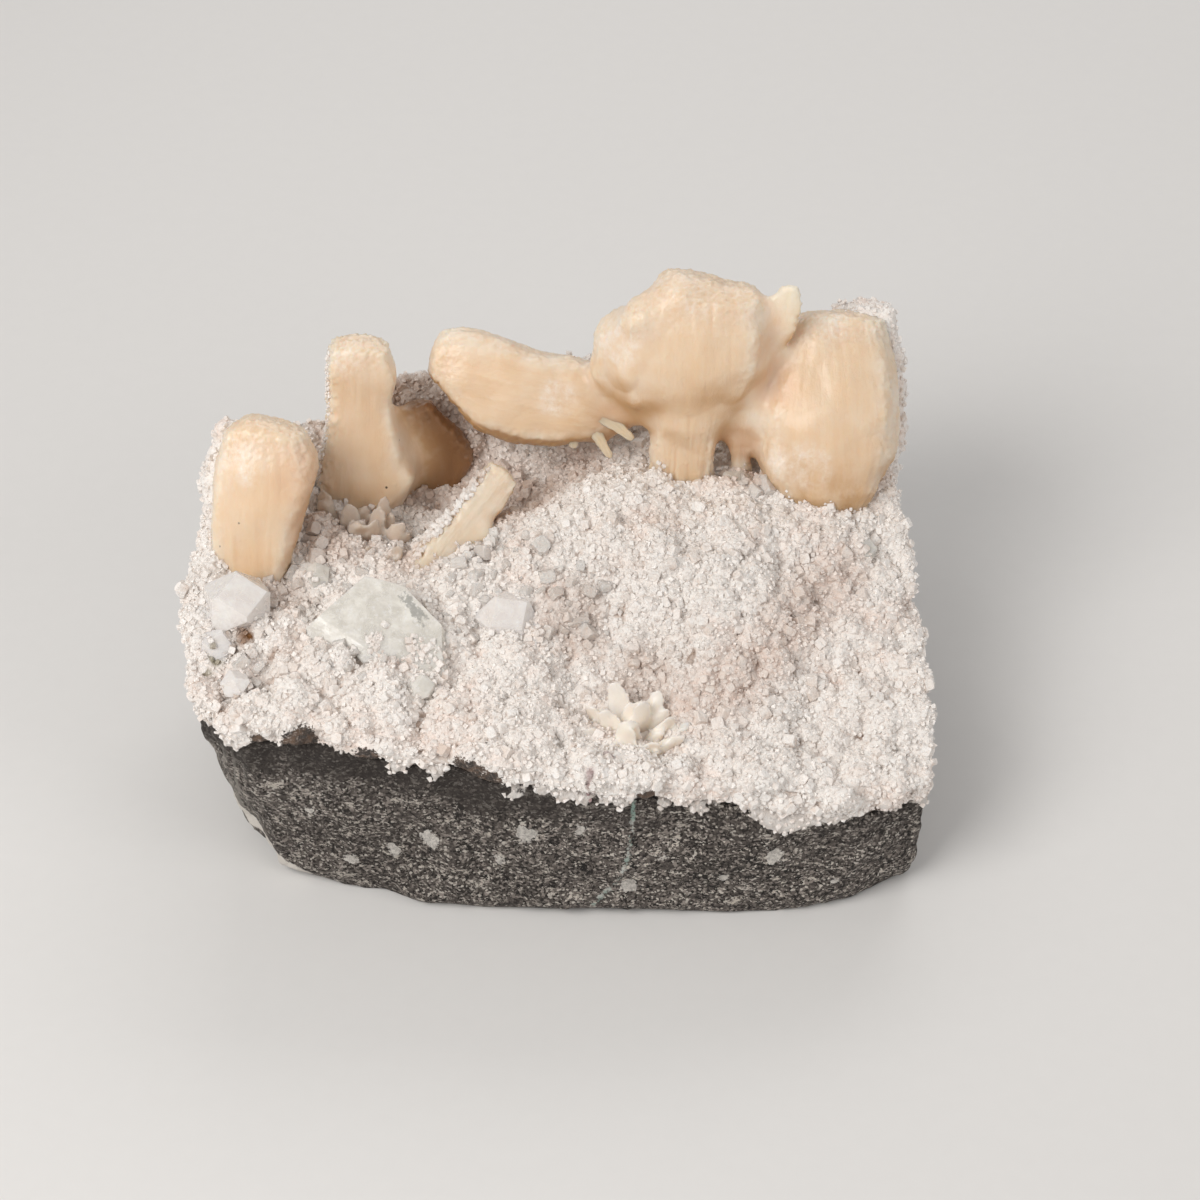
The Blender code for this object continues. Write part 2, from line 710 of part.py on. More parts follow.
# The large apophyllite: each facet's normal and its distance from the centre.
MAIN_APOPHYLLITE_CENTRE = (-27.0, -16.5, 30.0)
MAIN_APOPHYLLITE_FACETS = (
    ((-0.07, -0.45, 0.89), 5.7),
    ((-0.32, -0.71, 0.62), 6.1),
    ((-0.15, -0.85, 0.50), 6.7),
    ((0.95, -0.10, 0.30), 11.7),
    ((0.74, 0.60, 0.30), 8.0),
    ((0.30, 0.90, 0.30), 7.1),
    ((-0.67, 0.50, 0.56), 8.3),
    ((-0.90, 0.10, 0.30), 12.5),
    ((0.0, 0.0, -1.0), 8.0),
)

# Apophyllites with near-cubic form: centre, size, turn about X, Y and Z in degrees.
LEFT_APOPHYLLITES = (
    ((-46.8, -14.0, 35.5), (8.6, 8.0, 9.0), (30.0, 8.0, 20.0)),
    ((-51.2, -15.2, 33.0), (5.6, 6.0, 6.0), (15.0, 30.0, 40.0)),
    ((-49.5, -20.0, 32.5), (5.0, 5.0, 5.0), (40.0, 20.0, 10.0)),
)
CENTRE_APOPHYLLITES = (
    ((-7.5, -14.5, 33.0), (7.4, 7.0, 6.4), (28.0, -12.0, 35.0)),
    ((-3.0, -11.0, 32.5), (5.5, 5.5, 5.5), (10.0, 35.0, 15.0)),
    ((-3.5, -17.0, 31.0), (4.6, 4.6, 5.0), (35.0, 20.0, 60.0)),
)
SMALL_APOPHYLLITES = (
    ("apophyllite_right", (22.0, -20.5, 28.3), (3.8, 3.8, 4.0), (25.0, 10.0, 30.0)),
    ("apophyllite_far_right", (45.5, 1.5, 32.6), (3.2, 3.2, 3.4), (20.0, 30.0, 10.0)),
    ("apophyllite_by_left_sheaf", (-36.0, -6.6, 34.2), (3.6, 3.6, 4.4), (30.0, 15.0, 50.0)),
    ("apophyllite_front_left", (-46.0, -27.5, 32.3), (3.6, 3.6, 3.8), (15.0, 25.0, 70.0)),
    ("apophyllite_middle", (-19.5, -27.0, 31.3), (3.4, 3.4, 3.6), (35.0, 10.0, 25.0)),
    ("apophyllite_crest", (26.5, 12.0, 36.6), (4.0, 4.0, 4.0), (20.0, 35.0, 15.0)),
)


def build_apophyllites():
    made = [faceted_crystal(
        "apophyllite_main", MAIN_APOPHYLLITE_CENTRE, MAIN_APOPHYLLITE_FACETS, reach=20.0
    )]
    for name, group in (
        ("apophyllite_left", LEFT_APOPHYLLITES), ("apophyllite_centre", CENTRE_APOPHYLLITES)
    ):
        made.append(join(name, [
            apophyllite(f"{name}_{index}", *form) for index, form in enumerate(group)
        ]))
    for name, *form in SMALL_APOPHYLLITES:
        made.append(apophyllite(name, *form))
    return made


build_rock()
ground = sheet_solid("ground", crust_top_with_gap, TOP_SPACING, UNDERSIDE, cutters)
for crystal in (
    build_left_sheaf(), build_tall_sheaf(), build_right_cluster(), build_small_sheaf(),
    blade_group("stilbite_rosette", ROSETTE_BLADES, ROSETTE_ROOT, ROSETTE_FOOT, seed=41),
    blade_group("stilbite_blades", THIN_BLADES, THIN_BLADE_ROOT, THIN_BLADE_FOOT, seed=51),
    *build_apophyllites(),
):
    rooted(crystal, ground)
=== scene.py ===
"""The looks of the mineral specimen: stilbite sheaves and apophyllites on druse and basalt.

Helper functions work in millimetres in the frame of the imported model: +X along the long
side, -Y the broken front, +Z up, the base on z = 0. new_piece() turns them into metres.
"""

import json
import math

import bmesh
import bpy
import numpy as np
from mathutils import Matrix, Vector, noise
from mathutils.kdtree import KDTree

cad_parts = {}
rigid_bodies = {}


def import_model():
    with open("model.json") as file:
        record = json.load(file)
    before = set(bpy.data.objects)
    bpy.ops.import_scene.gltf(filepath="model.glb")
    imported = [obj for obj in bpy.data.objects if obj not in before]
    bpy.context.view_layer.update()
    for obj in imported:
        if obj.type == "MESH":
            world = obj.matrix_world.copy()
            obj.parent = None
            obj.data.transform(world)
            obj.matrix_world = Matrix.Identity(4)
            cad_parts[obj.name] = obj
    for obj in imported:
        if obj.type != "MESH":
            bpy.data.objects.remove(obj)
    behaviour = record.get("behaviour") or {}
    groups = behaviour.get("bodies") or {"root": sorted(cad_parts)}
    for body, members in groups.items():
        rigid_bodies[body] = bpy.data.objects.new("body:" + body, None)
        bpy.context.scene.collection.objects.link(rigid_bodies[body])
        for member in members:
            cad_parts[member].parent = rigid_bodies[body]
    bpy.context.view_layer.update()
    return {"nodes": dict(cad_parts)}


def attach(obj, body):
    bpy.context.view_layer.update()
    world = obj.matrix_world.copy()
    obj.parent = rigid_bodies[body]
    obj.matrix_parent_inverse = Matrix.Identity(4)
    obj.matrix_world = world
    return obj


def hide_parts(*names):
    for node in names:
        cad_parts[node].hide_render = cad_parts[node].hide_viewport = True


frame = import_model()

MM = 0.001
BODY = "root"

CAMERA_TARGET = (0.006, 0.0, 0.024)
CAMERA_ELEVATION = 42.0
CAMERA_DISTANCE = 0.43
CAMERA_LENS = 85.0
CAMERA_SENSOR = 36.0
FLOOR_REACH = 3.0
LIGHT_AIM = Vector((0.0, 0.0, 0.03))

# Mesh sizes in millimetres.
BASALT_VOXEL = 0.74
BED_VOXEL = 1.1
SKIN_VOXEL = 0.38
WALL_VOXEL = 0.45
SHEAF_CELL = 0.38
BLADE_CELL = 0.3
# Distances between crystals of one kind, and their mean radius.
GRAIN_SPACING = 1.35
GRAIN_RADIUS = 0.5
SPARK_SPACING = 0.68
SPARK_RADIUS = 0.24
WALL_SPACING = 1.0
WALL_RADIUS = 0.35
RIM_SPACING = 0.95
RIM_RADIUS = 0.5
DRIFT_SPACING = 0.8
BLOCK_SPACING = 2.1
# Seams between forms that have grown together: points across, and rounds of smoothing.
SEAM_WIDTH = 9
CALM_WIDTH = 4
SEAM_ROUNDS = 70
# Length of a spike as a share of its radius.
SPIKE_LENGTH = 2.2
BEVEL_WIDTH = 0.16
BEVEL_ANGLE = 20.0


def random_source(seed):
    return np.random.default_rng(seed)


def noise_at(points, size, seed=0.0):
    """Smooth noise from -1 to 1 with features of the given size."""
    shift = Vector((seed * 17.3, seed * 5.1, seed * 9.7))
    return np.array([noise.noise(Vector(point) / size + shift) for point in points])


def fractal_at(points, size, octaves=4, seed=0.0):
    shift = Vector((seed * 17.3, seed * 5.1, seed * 9.7))
    return np.array([
        noise.fractal(Vector(point) / size + shift, 0.9, 2.0, octaves) for point in points
    ])


def knobs_at(points, size, seed, metric="DISTANCE"):
    """Rounded knobs side by side, 1 in the middle of each and about 0 where they meet."""
    shift = Vector((seed * 17.3, seed * 5.1, seed * 9.7))
    nearest = [
        noise.voronoi(Vector(point) / size + shift, distance_metric=metric)[0][0]
        for point in points
    ]
    return 1.0 - np.minimum(np.array(nearest), 1.0) ** 2


def smooth_step(values, start, end):
    share = np.clip((values - start) / (end - start), 0.0, 1.0)
    return share * share * (3 - 2 * share)


def linked(name, data):
    """A new object in the scene."""
    made = bpy.data.objects.new(name, data)
    bpy.context.scene.collection.objects.link(made)
    return made


def new_piece(name, points, faces, material, replaces=(), smooth=False, attributes=None):
    """A mesh piece of the object from points in millimetres and faces of equal length."""
    points = np.asarray(points, dtype=np.float64) * MM
    faces = np.asarray(faces, dtype=np.int32)
    mesh = bpy.data.meshes.new(name)
    mesh.vertices.add(len(points))
    mesh.vertices.foreach_set("co", points.astype(np.float32).ravel())
    mesh.loops.add(faces.size)
    mesh.loops.foreach_set("vertex_index", faces.ravel())
    mesh.polygons.add(len(faces))
    mesh.polygons.foreach_set("loop_start", np.arange(0, faces.size, faces.shape[1]))
    mesh.update(calc_edges=True)
    for key, values in (attributes or {}).items():
        add_attribute(mesh, key, values)
    mesh.materials.append(material)
    piece = linked(name, mesh)
    if smooth:
        mesh.shade_smooth()
    else:
        mesh.shade_flat()
    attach(piece, BODY)
    if replaces:
        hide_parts(*replaces)


def add_attribute(mesh, key, values):
    values = np.asarray(values, dtype=np.float32)
    kind, field = ("FLOAT_VECTOR", "vector") if values.ndim == 2 else ("FLOAT", "value")
    attribute = mesh.attributes.new(key, kind, "POINT")
    attribute.data.foreach_set(field, values.ravel())


def mesh_arrays(mesh):
    """(points in mm, triangles, vertex normals) of a mesh."""
    mesh.calc_loop_triangles()
    points = np.empty(len(mesh.vertices) * 3)
    mesh.vertices.foreach_get("co", points)
    normals = np.empty(len(mesh.vertices) * 3)
    mesh.vertices.foreach_get("normal", normals)
    faces = np.empty(len(mesh.loop_triangles) * 3, np.int32)
    mesh.loop_triangles.foreach_get("vertices", faces)
    return points.reshape(-1, 3) / MM, faces.reshape(-1, 3), normals.reshape(-1, 3)


def voxel_mesh(mesh, voxel, rounds=0):
    """(points, triangles, normals) of a closed mesh as an even one, smoothed in rounds."""
    temporary = linked("temporary", mesh)
    remesh = temporary.modifiers.new("Remesh", "REMESH")
    remesh.mode = "VOXEL"
    remesh.voxel_size = voxel * MM
    if rounds:
        temporary.modifiers.new("Smooth", "SMOOTH").iterations = rounds
    bpy.context.view_layer.update()
    graph = bpy.context.evaluated_depsgraph_get()
    made = bpy.data.meshes.new_from_object(temporary.evaluated_get(graph))
    arrays = mesh_arrays(made)
    bpy.data.objects.remove(temporary, do_unlink=True)
    bpy.data.meshes.remove(made)
    return arrays


def node_mesh(node, voxel, rounds):
    """The form of a solid as an even, smoothed mesh."""
    return voxel_mesh(frame["nodes"][node].data.copy(), voxel, rounds)


def vertex_normals(points, faces):
    """Area-weighted normals of a triangle mesh."""
    corners = points[faces]
    across = np.cross(corners[:, 1] - corners[:, 0], corners[:, 2] - corners[:, 0])
    normals = np.zeros_like(points)
    for corner in range(3):
        np.add.at(normals, faces[:, corner], across)
    return normals / np.maximum(np.linalg.norm(normals, axis=1, keepdims=True), 1e-12)


def tree_of(points):
    tree = KDTree(len(points))
    for index, point in enumerate(points):
        tree.insert(point, index)
    tree.balance()
    return tree


def distances_to(points, targets):
    tree = tree_of(targets)
    return np.array([tree.find(point)[2] for point in points])


class Look:
    """A Principled material whose nodes are added one call at a time."""

    def __init__(self, name, **sockets):
        self.material = bpy.data.materials.new(name)
        self.material.use_nodes = True
        self.tree = self.material.node_tree
        self.shader = self.tree.nodes["Principled BSDF"]
        for socket, value in sockets.items():
            self.shader.inputs[socket.replace("_", " ")].default_value = value
        self.place = self.add("ShaderNodeTexCoord").outputs["Object"]
        self.colour = None

    def add(self, kind, sockets=None, **settings):
        made = self.tree.nodes.new(kind)
        for key, value in settings.items():
            setattr(made, key, value)
        for socket, value in (sockets or {}).items():
            self.put(made.inputs[socket], value)
        return made

    def put(self, socket, value):
        if isinstance(value, bpy.types.NodeSocket):
            self.tree.links.new(value, socket)
        else:
            socket.default_value = value

    def set(self, socket, value):
        self.put(self.shader.inputs[socket], value)

    def attribute(self, name, part="Fac"):
        return self.add("ShaderNodeAttribute", attribute_name=name).outputs[part]

    def parts(self, vector):
        """The three numbers of a vector, or of the vector attribute with that name."""
        if isinstance(vector, str):
            vector = self.attribute(vector, "Vector")
        split = self.add("ShaderNodeSeparateXYZ", {0: vector})
        return [split.outputs[axis] for axis in "XYZ"]

    def noise(self, size, detail=3.0, roughness=0.55, vector=None, distortion=0.0):
        """Noise from 0 to 1, with features of the given size in millimetres."""
        return self.add("ShaderNodeTexNoise", {
            "Vector": vector or self.place, "Scale": 1.0 / (size * MM), "Detail": detail,
            "Roughness": roughness, "Distortion": distortion,
        }).outputs["Fac"]

    def cells(self, size, output="Distance", vector=None):
        return self.add("ShaderNodeTexVoronoi", {
            "Vector": vector or self.place, "Scale": 1.0 / (size * MM),
        }).outputs[output]

    def vector(self, operation, first, second, output="Vector"):
        return self.add("ShaderNodeVectorMath", {0: first, 1: second},
                        operation=operation).outputs[output]

    def stretched(self, scale, vector=None):
        """Coordinates times a scale along each axis."""
        return self.vector("MULTIPLY", vector or self.place, scale)

    def math(self, operation, first, second=0.5, third=0.5):
        return self.add("ShaderNodeMath", {0: first, 1: second, 2: third},
                        operation=operation).outputs[0]

    def swing(self, pattern, reach, middle):
        """The middle value, moved up and down by a pattern that runs from 0 to 1."""
        return self.math("MULTIPLY_ADD", self.math("SUBTRACT", pattern, 0.5), reach, middle)

    def span(self, value, start, end, low=0.0, high=1.0):
        """Maps start..end to low..high, and holds the ends."""
        return self.add("ShaderNodeMapRange", {
            "Value": value, "From Min": start, "From Max": end, "To Min": low, "To Max": high,
        }).outputs["Result"]

    def mix(self, factor, first, second):
        made = self.add("ShaderNodeMix", data_type="RGBA")
        self.put(made.inputs[0], factor)
        for index, value in ((6, first), (7, second)):
            if not isinstance(value, bpy.types.NodeSocket):
                value = (*value, 1.0)
            self.put(made.inputs[index], value)
        return made.outputs[2]

    def paint(self, colour, *shares):
        """Lays a colour over the look's colour, by the product of the shares."""
        factor, *others = shares
        for share in others:
            factor = self.math("MULTIPLY", factor, share)
        self.colour = self.mix(factor, self.colour, colour)

    def scatter(self, weight, radius, scale, clear):
        """How much light spreads below the surface or passes through; scale in millimetres."""
        self.set("Subsurface Weight", weight)
        self.set("Subsurface Radius", radius)
        self.set("Subsurface Scale", scale * MM)
        self.set("Transmission Weight", clear)

    def finished(self, *reliefs):
        """The material with its colour and its bumps: each a pattern and its height in mm."""
        self.set("Base Color", self.colour)
        normal = None
        for pattern, height in reliefs:
            sockets = {"Height": pattern, "Distance": height * MM, "Strength": 1.0}
            if normal:
                sockets["Normal"] = normal
            normal = self.add("ShaderNodeBump", sockets).outputs["Normal"]
        self.set("Normal", normal)
        return self.material


DARK_ROCK = (0.038, 0.030, 0.026)


def basalt_look():
    """Dark rock speckled with pale laths, with vein, spots, lime line, crusted edge and painted
    shade below the crust.
    """
    look = Look("basalt_look", Roughness=0.8)
    look.set("Specular IOR Level", 0.4)
    x = look.parts(look.place)[0]
    broad = look.noise(14.0, detail=4.0)
    look.colour = look.mix(look.span(broad, 0.35, 0.65), (0.050, 0.042, 0.037),
                           (0.092, 0.078, 0.070))
    grain = look.noise(0.55, detail=5.0, roughness=0.85)
    laths = look.cells(0.36, output="Color", vector=look.stretched((1.0, 1.0, 1.25)))
    chance = look.swing(look.noise(4.0, detail=4.0), 0.35, look.parts(laths)[0])
    look.paint((0.25, 0.215, 0.19), look.span(grain, 0.46, 0.58, 0.0, 0.5))
    look.paint((0.37, 0.325, 0.29), look.span(chance, 0.62, 0.80, 0.0, 0.9))
    look.paint((0.66, 0.61, 0.55), look.span(chance, 0.90, 0.93))
    look.paint((0.014, 0.011, 0.010), look.span(chance, 0.26, 0.16, 0.0, 0.9))
    pits = look.noise(1.3, detail=4.0, roughness=0.75)
    look.paint((0.012, 0.010, 0.009), look.span(pits, 0.43, 0.38))
    patch = look.noise(2.6, detail=5.0, roughness=0.85, vector=look.stretched((1.0, 1.0, 1.9)))
    patch = look.math("ADD", patch, look.span(x, 0.010, -0.020, 0.0, 0.02))
    look.paint((0.68, 0.62, 0.55), look.span(patch, 0.60, 0.615))
    streak = look.noise(1.0, detail=3.0, vector=look.stretched((1.0, 1.0, 0.12)))
    look.paint((0.42, 0.39, 0.35), look.span(x, -0.0430, -0.0470), look.span(streak, 0.46, 0.60),
               0.75)
    # Painted shade on the rock just below the overhanging crust, stronger towards the left.
    shade_under_crust = look.swing(look.noise(4.0, detail=5.0), 1.6, look.attribute("rim"))
    look.paint(DARK_ROCK, look.span(shade_under_crust, 0.35, 0.7), look.span(x, 0.016, -0.004, 0.2, 0.78))
    look.paint(DARK_ROCK, look.span(x, 0.010, -0.025, 0.0, 0.2))
    ragged = look.noise(0.9, detail=4.0, roughness=0.7)
    vein = look.swing(ragged, 2.0, look.attribute("from_vein"))
    green = look.mix(look.span(look.noise(2.5), 0.45, 0.6), (0.60, 0.62, 0.58), (0.34, 0.47, 0.41))
    look.paint(green, look.span(vein, 0.34, 0.16), look.span(grain, 0.38, 0.50), 0.9)
    spot = look.noise(1.8, detail=4.0, roughness=0.7)
    spot = look.swing(spot, 3.6, look.attribute("from_spot"))
    filling = look.mix(look.span(grain, 0.42, 0.55), (0.44, 0.41, 0.38), (0.76, 0.72, 0.67))
    look.paint(filling, look.span(spot, 1.0, 0.85))
    lime = look.swing(ragged, 1.2, look.attribute("from_lime"))
    look.paint((0.82, 0.77, 0.71), look.span(lime, 1.7, 1.4))
    crusted = look.swing(ragged, 1.3, look.attribute("crusted"))
    edge = look.mix(look.span(look.noise(1.2), 0.35, 0.6), (0.84, 0.76, 0.70), (0.94, 0.89, 0.85))
    look.paint(edge, look.span(crusted, -0.08, 0.08))
    return look.finished((look.noise(1.6, detail=5.0, roughness=0.75), 0.8), (grain, 0.3))


def druse_look(name, pale, warm, dark, shade_umber, soft, clear=0.0, gloss=0.36):
    """Sugary crust: white and pinkish, stained in a few places, with painted grey-brown shade in
    its dips, at crystal feet and in pockets.
    """
    look = Look(name, Roughness=gloss)
    warmth, brown_shade, shade_and_tone = look.parts("tint")
    stain, moss, wine = look.parts("marks")
    fine = look.noise(0.45, detail=4.0, roughness=0.7)
    cloud = look.noise(1.3, detail=3.0)
    look.colour = look.mix(warmth, pale, warm)
    look.paint((0.97, 0.935, 0.90), look.span(cloud, 0.42, 0.62, 0.0, 0.6))
    look.paint(dark, look.span(fine, 0.48, 0.38, 0.0, 0.3))
    # Painted shade in the crust's dips and at the feet of crystals; some crystals are also darker
    # at random.
    look.paint(dark, shade_and_tone, 0.85)
    # Painted brown shade in pockets and valleys among the sheaves, and some brown along the crease.
    look.paint(shade_umber, brown_shade, look.span(cloud, 0.3, 0.6, 1.0, 0.6))
    look.paint((0.24, 0.11, 0.04), stain)
    look.paint((0.19, 0.165, 0.07), moss, 0.9)
    look.paint((0.20, 0.065, 0.075), wine)
    rock = look.mix(look.span(cloud, 0.45, 0.6), (0.045, 0.034, 0.028), (0.13, 0.080, 0.052))
    rock = look.mix(look.span(fine, 0.54, 0.64), rock, (0.34, 0.28, 0.24))
    look.paint(rock, look.span(look.swing(fine, 1.4, look.attribute("from_notch")), 1.0, 0.9))
    look.scatter(soft, (1.0, 0.94, 0.88), 0.9, clear)
    look.set("IOR", 1.52)
    return look.finished((look.noise(0.9, detail=3.0, roughness=0.6), 0.25), (fine, 0.16))


def bed_look():
    look = Look("druse_bed_look", Roughness=0.7)
    broad = look.noise(7.0, detail=3.0)
    fine = look.noise(0.7, detail=4.0, roughness=0.7)
    look.colour = look.mix(look.span(broad, 0.35, 0.65), (0.62, 0.52, 0.45), (0.70, 0.64, 0.60))
    look.paint((0.82, 0.76, 0.72), look.span(fine, 0.48, 0.62))
    return look.finished((fine, 0.3))


def stilbite_look(name, peach, ochre, cream, soft=0.65, clear=0.0):
    """Pearly blades: striated along their growth, deeper at the foot, pale at tips and edges, with
    painted shade on downward faces and on sheaves in shadow.
    """
    look = Look(name, Roughness=0.42)
    tip, edge, low = look.parts("ends")
    frosted, flush_and_shade, underside_shade = look.parts("patches")
    along = look.stretched((0.9, 0.05, 0.9), look.attribute("growth", "Vector"))
    lines = look.noise(0.9, detail=4.0, roughness=0.7, vector=along)
    lines = look.swing(lines, look.attribute("calm"), 0.5)
    broad = look.noise(6.0, detail=4.0)
    flecks = look.span(look.noise(0.8, detail=4.0, roughness=0.7), 0.3, 0.7)
    look.colour = look.mix(look.span(broad, 0.38, 0.68, 0.1, 0.6), peach, cream)
    # Ochre at the foot, and painted shade over sheaves set with deep.
    look.paint(ochre, low, look.span(look.noise(4.0), 0.2, 0.55), 0.85)
    look.paint(cream, look.span(lines, 0.42, 0.66, 0.0, 0.25))
    look.paint((0.90, 0.80, 0.70), tip, flecks, 0.45)
    look.paint((0.87, 0.80, 0.70), edge, look.span(look.noise(3.0, detail=4.0), 0.2, 0.6), 0.5)
    # Painted shade on faces that turn downward.
    look.paint(ochre, underside_shade, 0.95)
    # Painted dark-brown shade on sheaves that stand in the shadow of others.
    look.paint((0.26, 0.13, 0.055), look.span(low, 1.0, 2.0))
    # Orange flush, with painted shade on the turned-away right side of the left sheaf.
    look.paint((0.72, 0.42, 0.24), flush_and_shade, 0.4)
    cloudy = look.span(look.noise(3.0, detail=5.0), 0.3, 0.6)
    look.paint((0.89, 0.80, 0.71), frosted, cloudy, flecks)
    look.paint((0.10, 0.06, 0.04), look.span(look.cells(7.0), 0.04, 0.02))
    look.scatter(soft, (1.0, 0.78, 0.58), 3.2, clear)
    look.set("Coat Weight", 0.2)
    look.set("Coat Roughness", 0.25)
    return look.finished((look.noise(0.7, detail=4.0, roughness=0.7), 0.05), (lines, 0.14))


def apophyllite_look(name, pale, shade, clear, streak=None):
    """Glassy to milky crystal with veils inside.

    streak is a grey inclusion, given by its middle and its direction.
    """
    look = Look(name)
    veil = look.noise(2.6, detail=4.0, roughness=0.6, distortion=0.6)
    deep = look.noise(6.0, detail=3.0, distortion=1.0)
    wisp = look.noise(0.8, detail=4.0, roughness=0.75)
    look.colour = look.mix(look.span(veil, 0.38, 0.62), pale, shade)
    look.paint(shade, look.span(deep, 0.48, 0.62, 0.0, 0.6))
    look.paint((0.96, 0.95, 0.93), look.span(wisp, 0.54, 0.68, 0.0, 0.7))
    if streak:
        middle, course = streak
        moved = look.vector("SUBTRACT", look.place, middle)
        along = look.vector("DOT_PRODUCT", moved, course, "Value")
        on_course = look.add("ShaderNodeVectorMath", {0: course, "Scale": along},
                             operation="SCALE").outputs[0]
        beside = look.vector("DISTANCE", moved, on_course, "Value")
        along = look.math("MULTIPLY", look.math("ABSOLUTE", along), 0.27)
        off = look.swing(wisp, 0.0024, look.math("MAXIMUM", along, beside))
        look.paint((0.34, 0.34, 0.32), look.span(off, 0.00075, 0.0005), 0.7)
    look.scatter(0.5, (1.0, 1.0, 0.92), 1.5, clear)
    look.set("IOR", 1.54)
    look.set("Roughness", look.span(veil, 0.3, 0.7, 0.14, 0.34))
    return look.finished((look.noise(2.2, detail=3.0), 0.25), (wisp, 0.06))


basalt_material = basalt_look()
bed_material = bed_look()
crust_material = druse_look("druse_look", (0.96, 0.90, 0.855), (0.93, 0.80, 0.73),
                            (0.52, 0.38, 0.30), (0.44, 0.29, 0.21), soft=0.22)
grain_material = druse_look("grain_look", (0.98, 0.935, 0.90), (0.955, 0.86, 0.80),
                            (0.66, 0.52, 0.43), (0.56, 0.41, 0.32), soft=0.2)
frosty_material = druse_look("frosty_look", (0.95, 0.90, 0.86), (0.93, 0.85, 0.79),
                             (0.74, 0.63, 0.56), (0.78, 0.62, 0.53), soft=0.5, clear=0.25,
                             gloss=0.16)
stilbite_material = stilbite_look("stilbite_look", (0.785, 0.57, 0.372), (0.58, 0.34, 0.155),
                                  (0.835, 0.685, 0.525))
glint_material = druse_look("glint_look", (0.98, 0.95, 0.92), (0.96, 0.88, 0.83),
                            (0.70, 0.58, 0.50), (0.66, 0.50, 0.41), soft=0.0, gloss=0.14)
petal_material = stilbite_look("petal_look", (0.95, 0.85, 0.75), (0.86, 0.70, 0.57),
                               (0.97, 0.91, 0.84), soft=0.5)
blade_material = stilbite_look("blade_look", (0.74, 0.56, 0.44), (0.60, 0.42, 0.30),
                               (0.86, 0.73, 0.63), soft=0.4, clear=0.25)
apophyllite_material = apophyllite_look("apophyllite_look", (0.95, 0.92, 0.86),
                                        (0.74, 0.71, 0.65), clear=0.18,
                                        streak=((-0.0210, -0.0161, 0.0371), (0.60, -0.72, -0.35)))
milky_material = apophyllite_look("milky_apophyllite_look", (0.96, 0.92, 0.89),
                                  (0.86, 0.81, 0.78), clear=0.12)


def hull(points):
    """(points, triangles) of the convex hull."""
    bm = bmesh.new()
    for point in points:
        bm.verts.new(point)
    made = bmesh.ops.convex_hull(bm, input=bm.verts)
    spare = [item for item in made["geom_interior"] if isinstance(item, bmesh.types.BMVert)]
    bmesh.ops.delete(bm, geom=spare, context="VERTS")
    bmesh.ops.triangulate(bm, faces=bm.faces)
    bmesh.ops.recalc_face_normals(bm, faces=bm.faces)
    bm.verts.index_update()
    points = np.array([vert.co[:] for vert in bm.verts])
    faces = np.array([[vert.index for vert in face.verts] for face in bm.faces])
    bm.free()
    return points, faces


def nuggets(count, corners, rng):
    """Rounded lumps with flat facets, of radius 1."""
    made = []
    for _ in range(count):
        spread = rng.normal(size=(corners, 3))
        spread /= np.linalg.norm(spread, axis=1, keepdims=True)
        made.append(hull(spread * rng.uniform(0.85, 1.1, size=(corners, 1))))
    return made


def blocks(count, rng, cut=0.55):
    """Near-cubic crystals with cut corners, of half width 1."""
    made = []
    for _ in range(count):
        sides = rng.uniform(0.8, 1.15, 3)
        corners = []
        for sign in np.ndindex(2, 2, 2):
            corner = (2.0 * np.array(sign) - 1.0) * sides
            for axis in range(3):
                moved = corner.copy()
                moved[axis] *= 1.0 - cut * rng.uniform(0.5, 1.2)
                corners.append(moved)
        made.append(hull(np.array(corners)))
    return made


def chips(count, rng):
    """Small skewed cubes, of half width 1."""
    cube = 2.0 * np.array(list(np.ndindex(2, 2, 2))) - 1.0
    return [hull(cube * rng.uniform(0.7, 1.15, (8, 3))) for _ in range(count)]


def spikes(count, rng):
    """Short prisms that end in a point along +Z, of radius 1."""
    made = []
    for _ in range(count):
        angles = np.arange(6) * math.pi / 3 + rng.uniform(-0.2, 0.2, 6)
        ring = np.column_stack([np.cos(angles), np.sin(angles), np.zeros(6)])
        ring[:, :2] *= rng.uniform(0.8, 1.15, (6, 1))
        top = ring * 0.92 + (0.0, 0.0, 0.6 * SPIKE_LENGTH)
        apex = np.array([[rng.uniform(-0.2, 0.2), rng.uniform(-0.2, 0.2), SPIKE_LENGTH]])
        made.append(hull(np.vstack([ring, top, apex])))
    return made


def turned(directions, spins):
    """Rotation matrices that take +Z to each direction, after a spin about it."""
    z = directions / np.linalg.norm(directions, axis=1, keepdims=True)
    helper = np.where(np.abs(z[:, :1]) < 0.8, (1.0, 0.0, 0.0), (0.0, 1.0, 0.0))
    x = np.cross(helper, z)
    x /= np.linalg.norm(x, axis=1, keepdims=True)
    y = np.cross(z, x)
    across = x * np.cos(spins)[:, None] + y * np.sin(spins)[:, None]
    return np.stack([across, np.cross(z, across), z], axis=2)


def many(templates, places, directions, sizes, rng):
    """Copies of the templates as one mesh: (points, triangles, index of each point's copy)."""
    sizes = np.asarray(sizes)
    sizes = sizes[:, None] * np.ones(3) if sizes.ndim == 1 else sizes
    matrices = turned(directions, rng.uniform(0, 2 * math.pi, len(places)))
    kinds = rng.integers(0, len(templates), len(places))
    points, faces, owners = [], [], []
    start = 0
    for kind, (form, triangles) in enumerate(templates):
        chosen = np.flatnonzero(kinds == kind)
        scaled = form[None, :, :] * sizes[chosen][:, None, :]
        made = np.einsum("nij,nvj->nvi", matrices[chosen], scaled) + places[chosen][:, None, :]
        points.append(made.reshape(-1, 3))
        offsets = start + np.arange(len(chosen))[:, None, None] * len(form)
        faces.append((triangles[None] + offsets).reshape(-1, 3))
        owners.append(np.repeat(chosen, len(form)))
        start += len(chosen) * len(form)
    return np.vstack(points), np.vstack(faces), np.concatenate(owners)


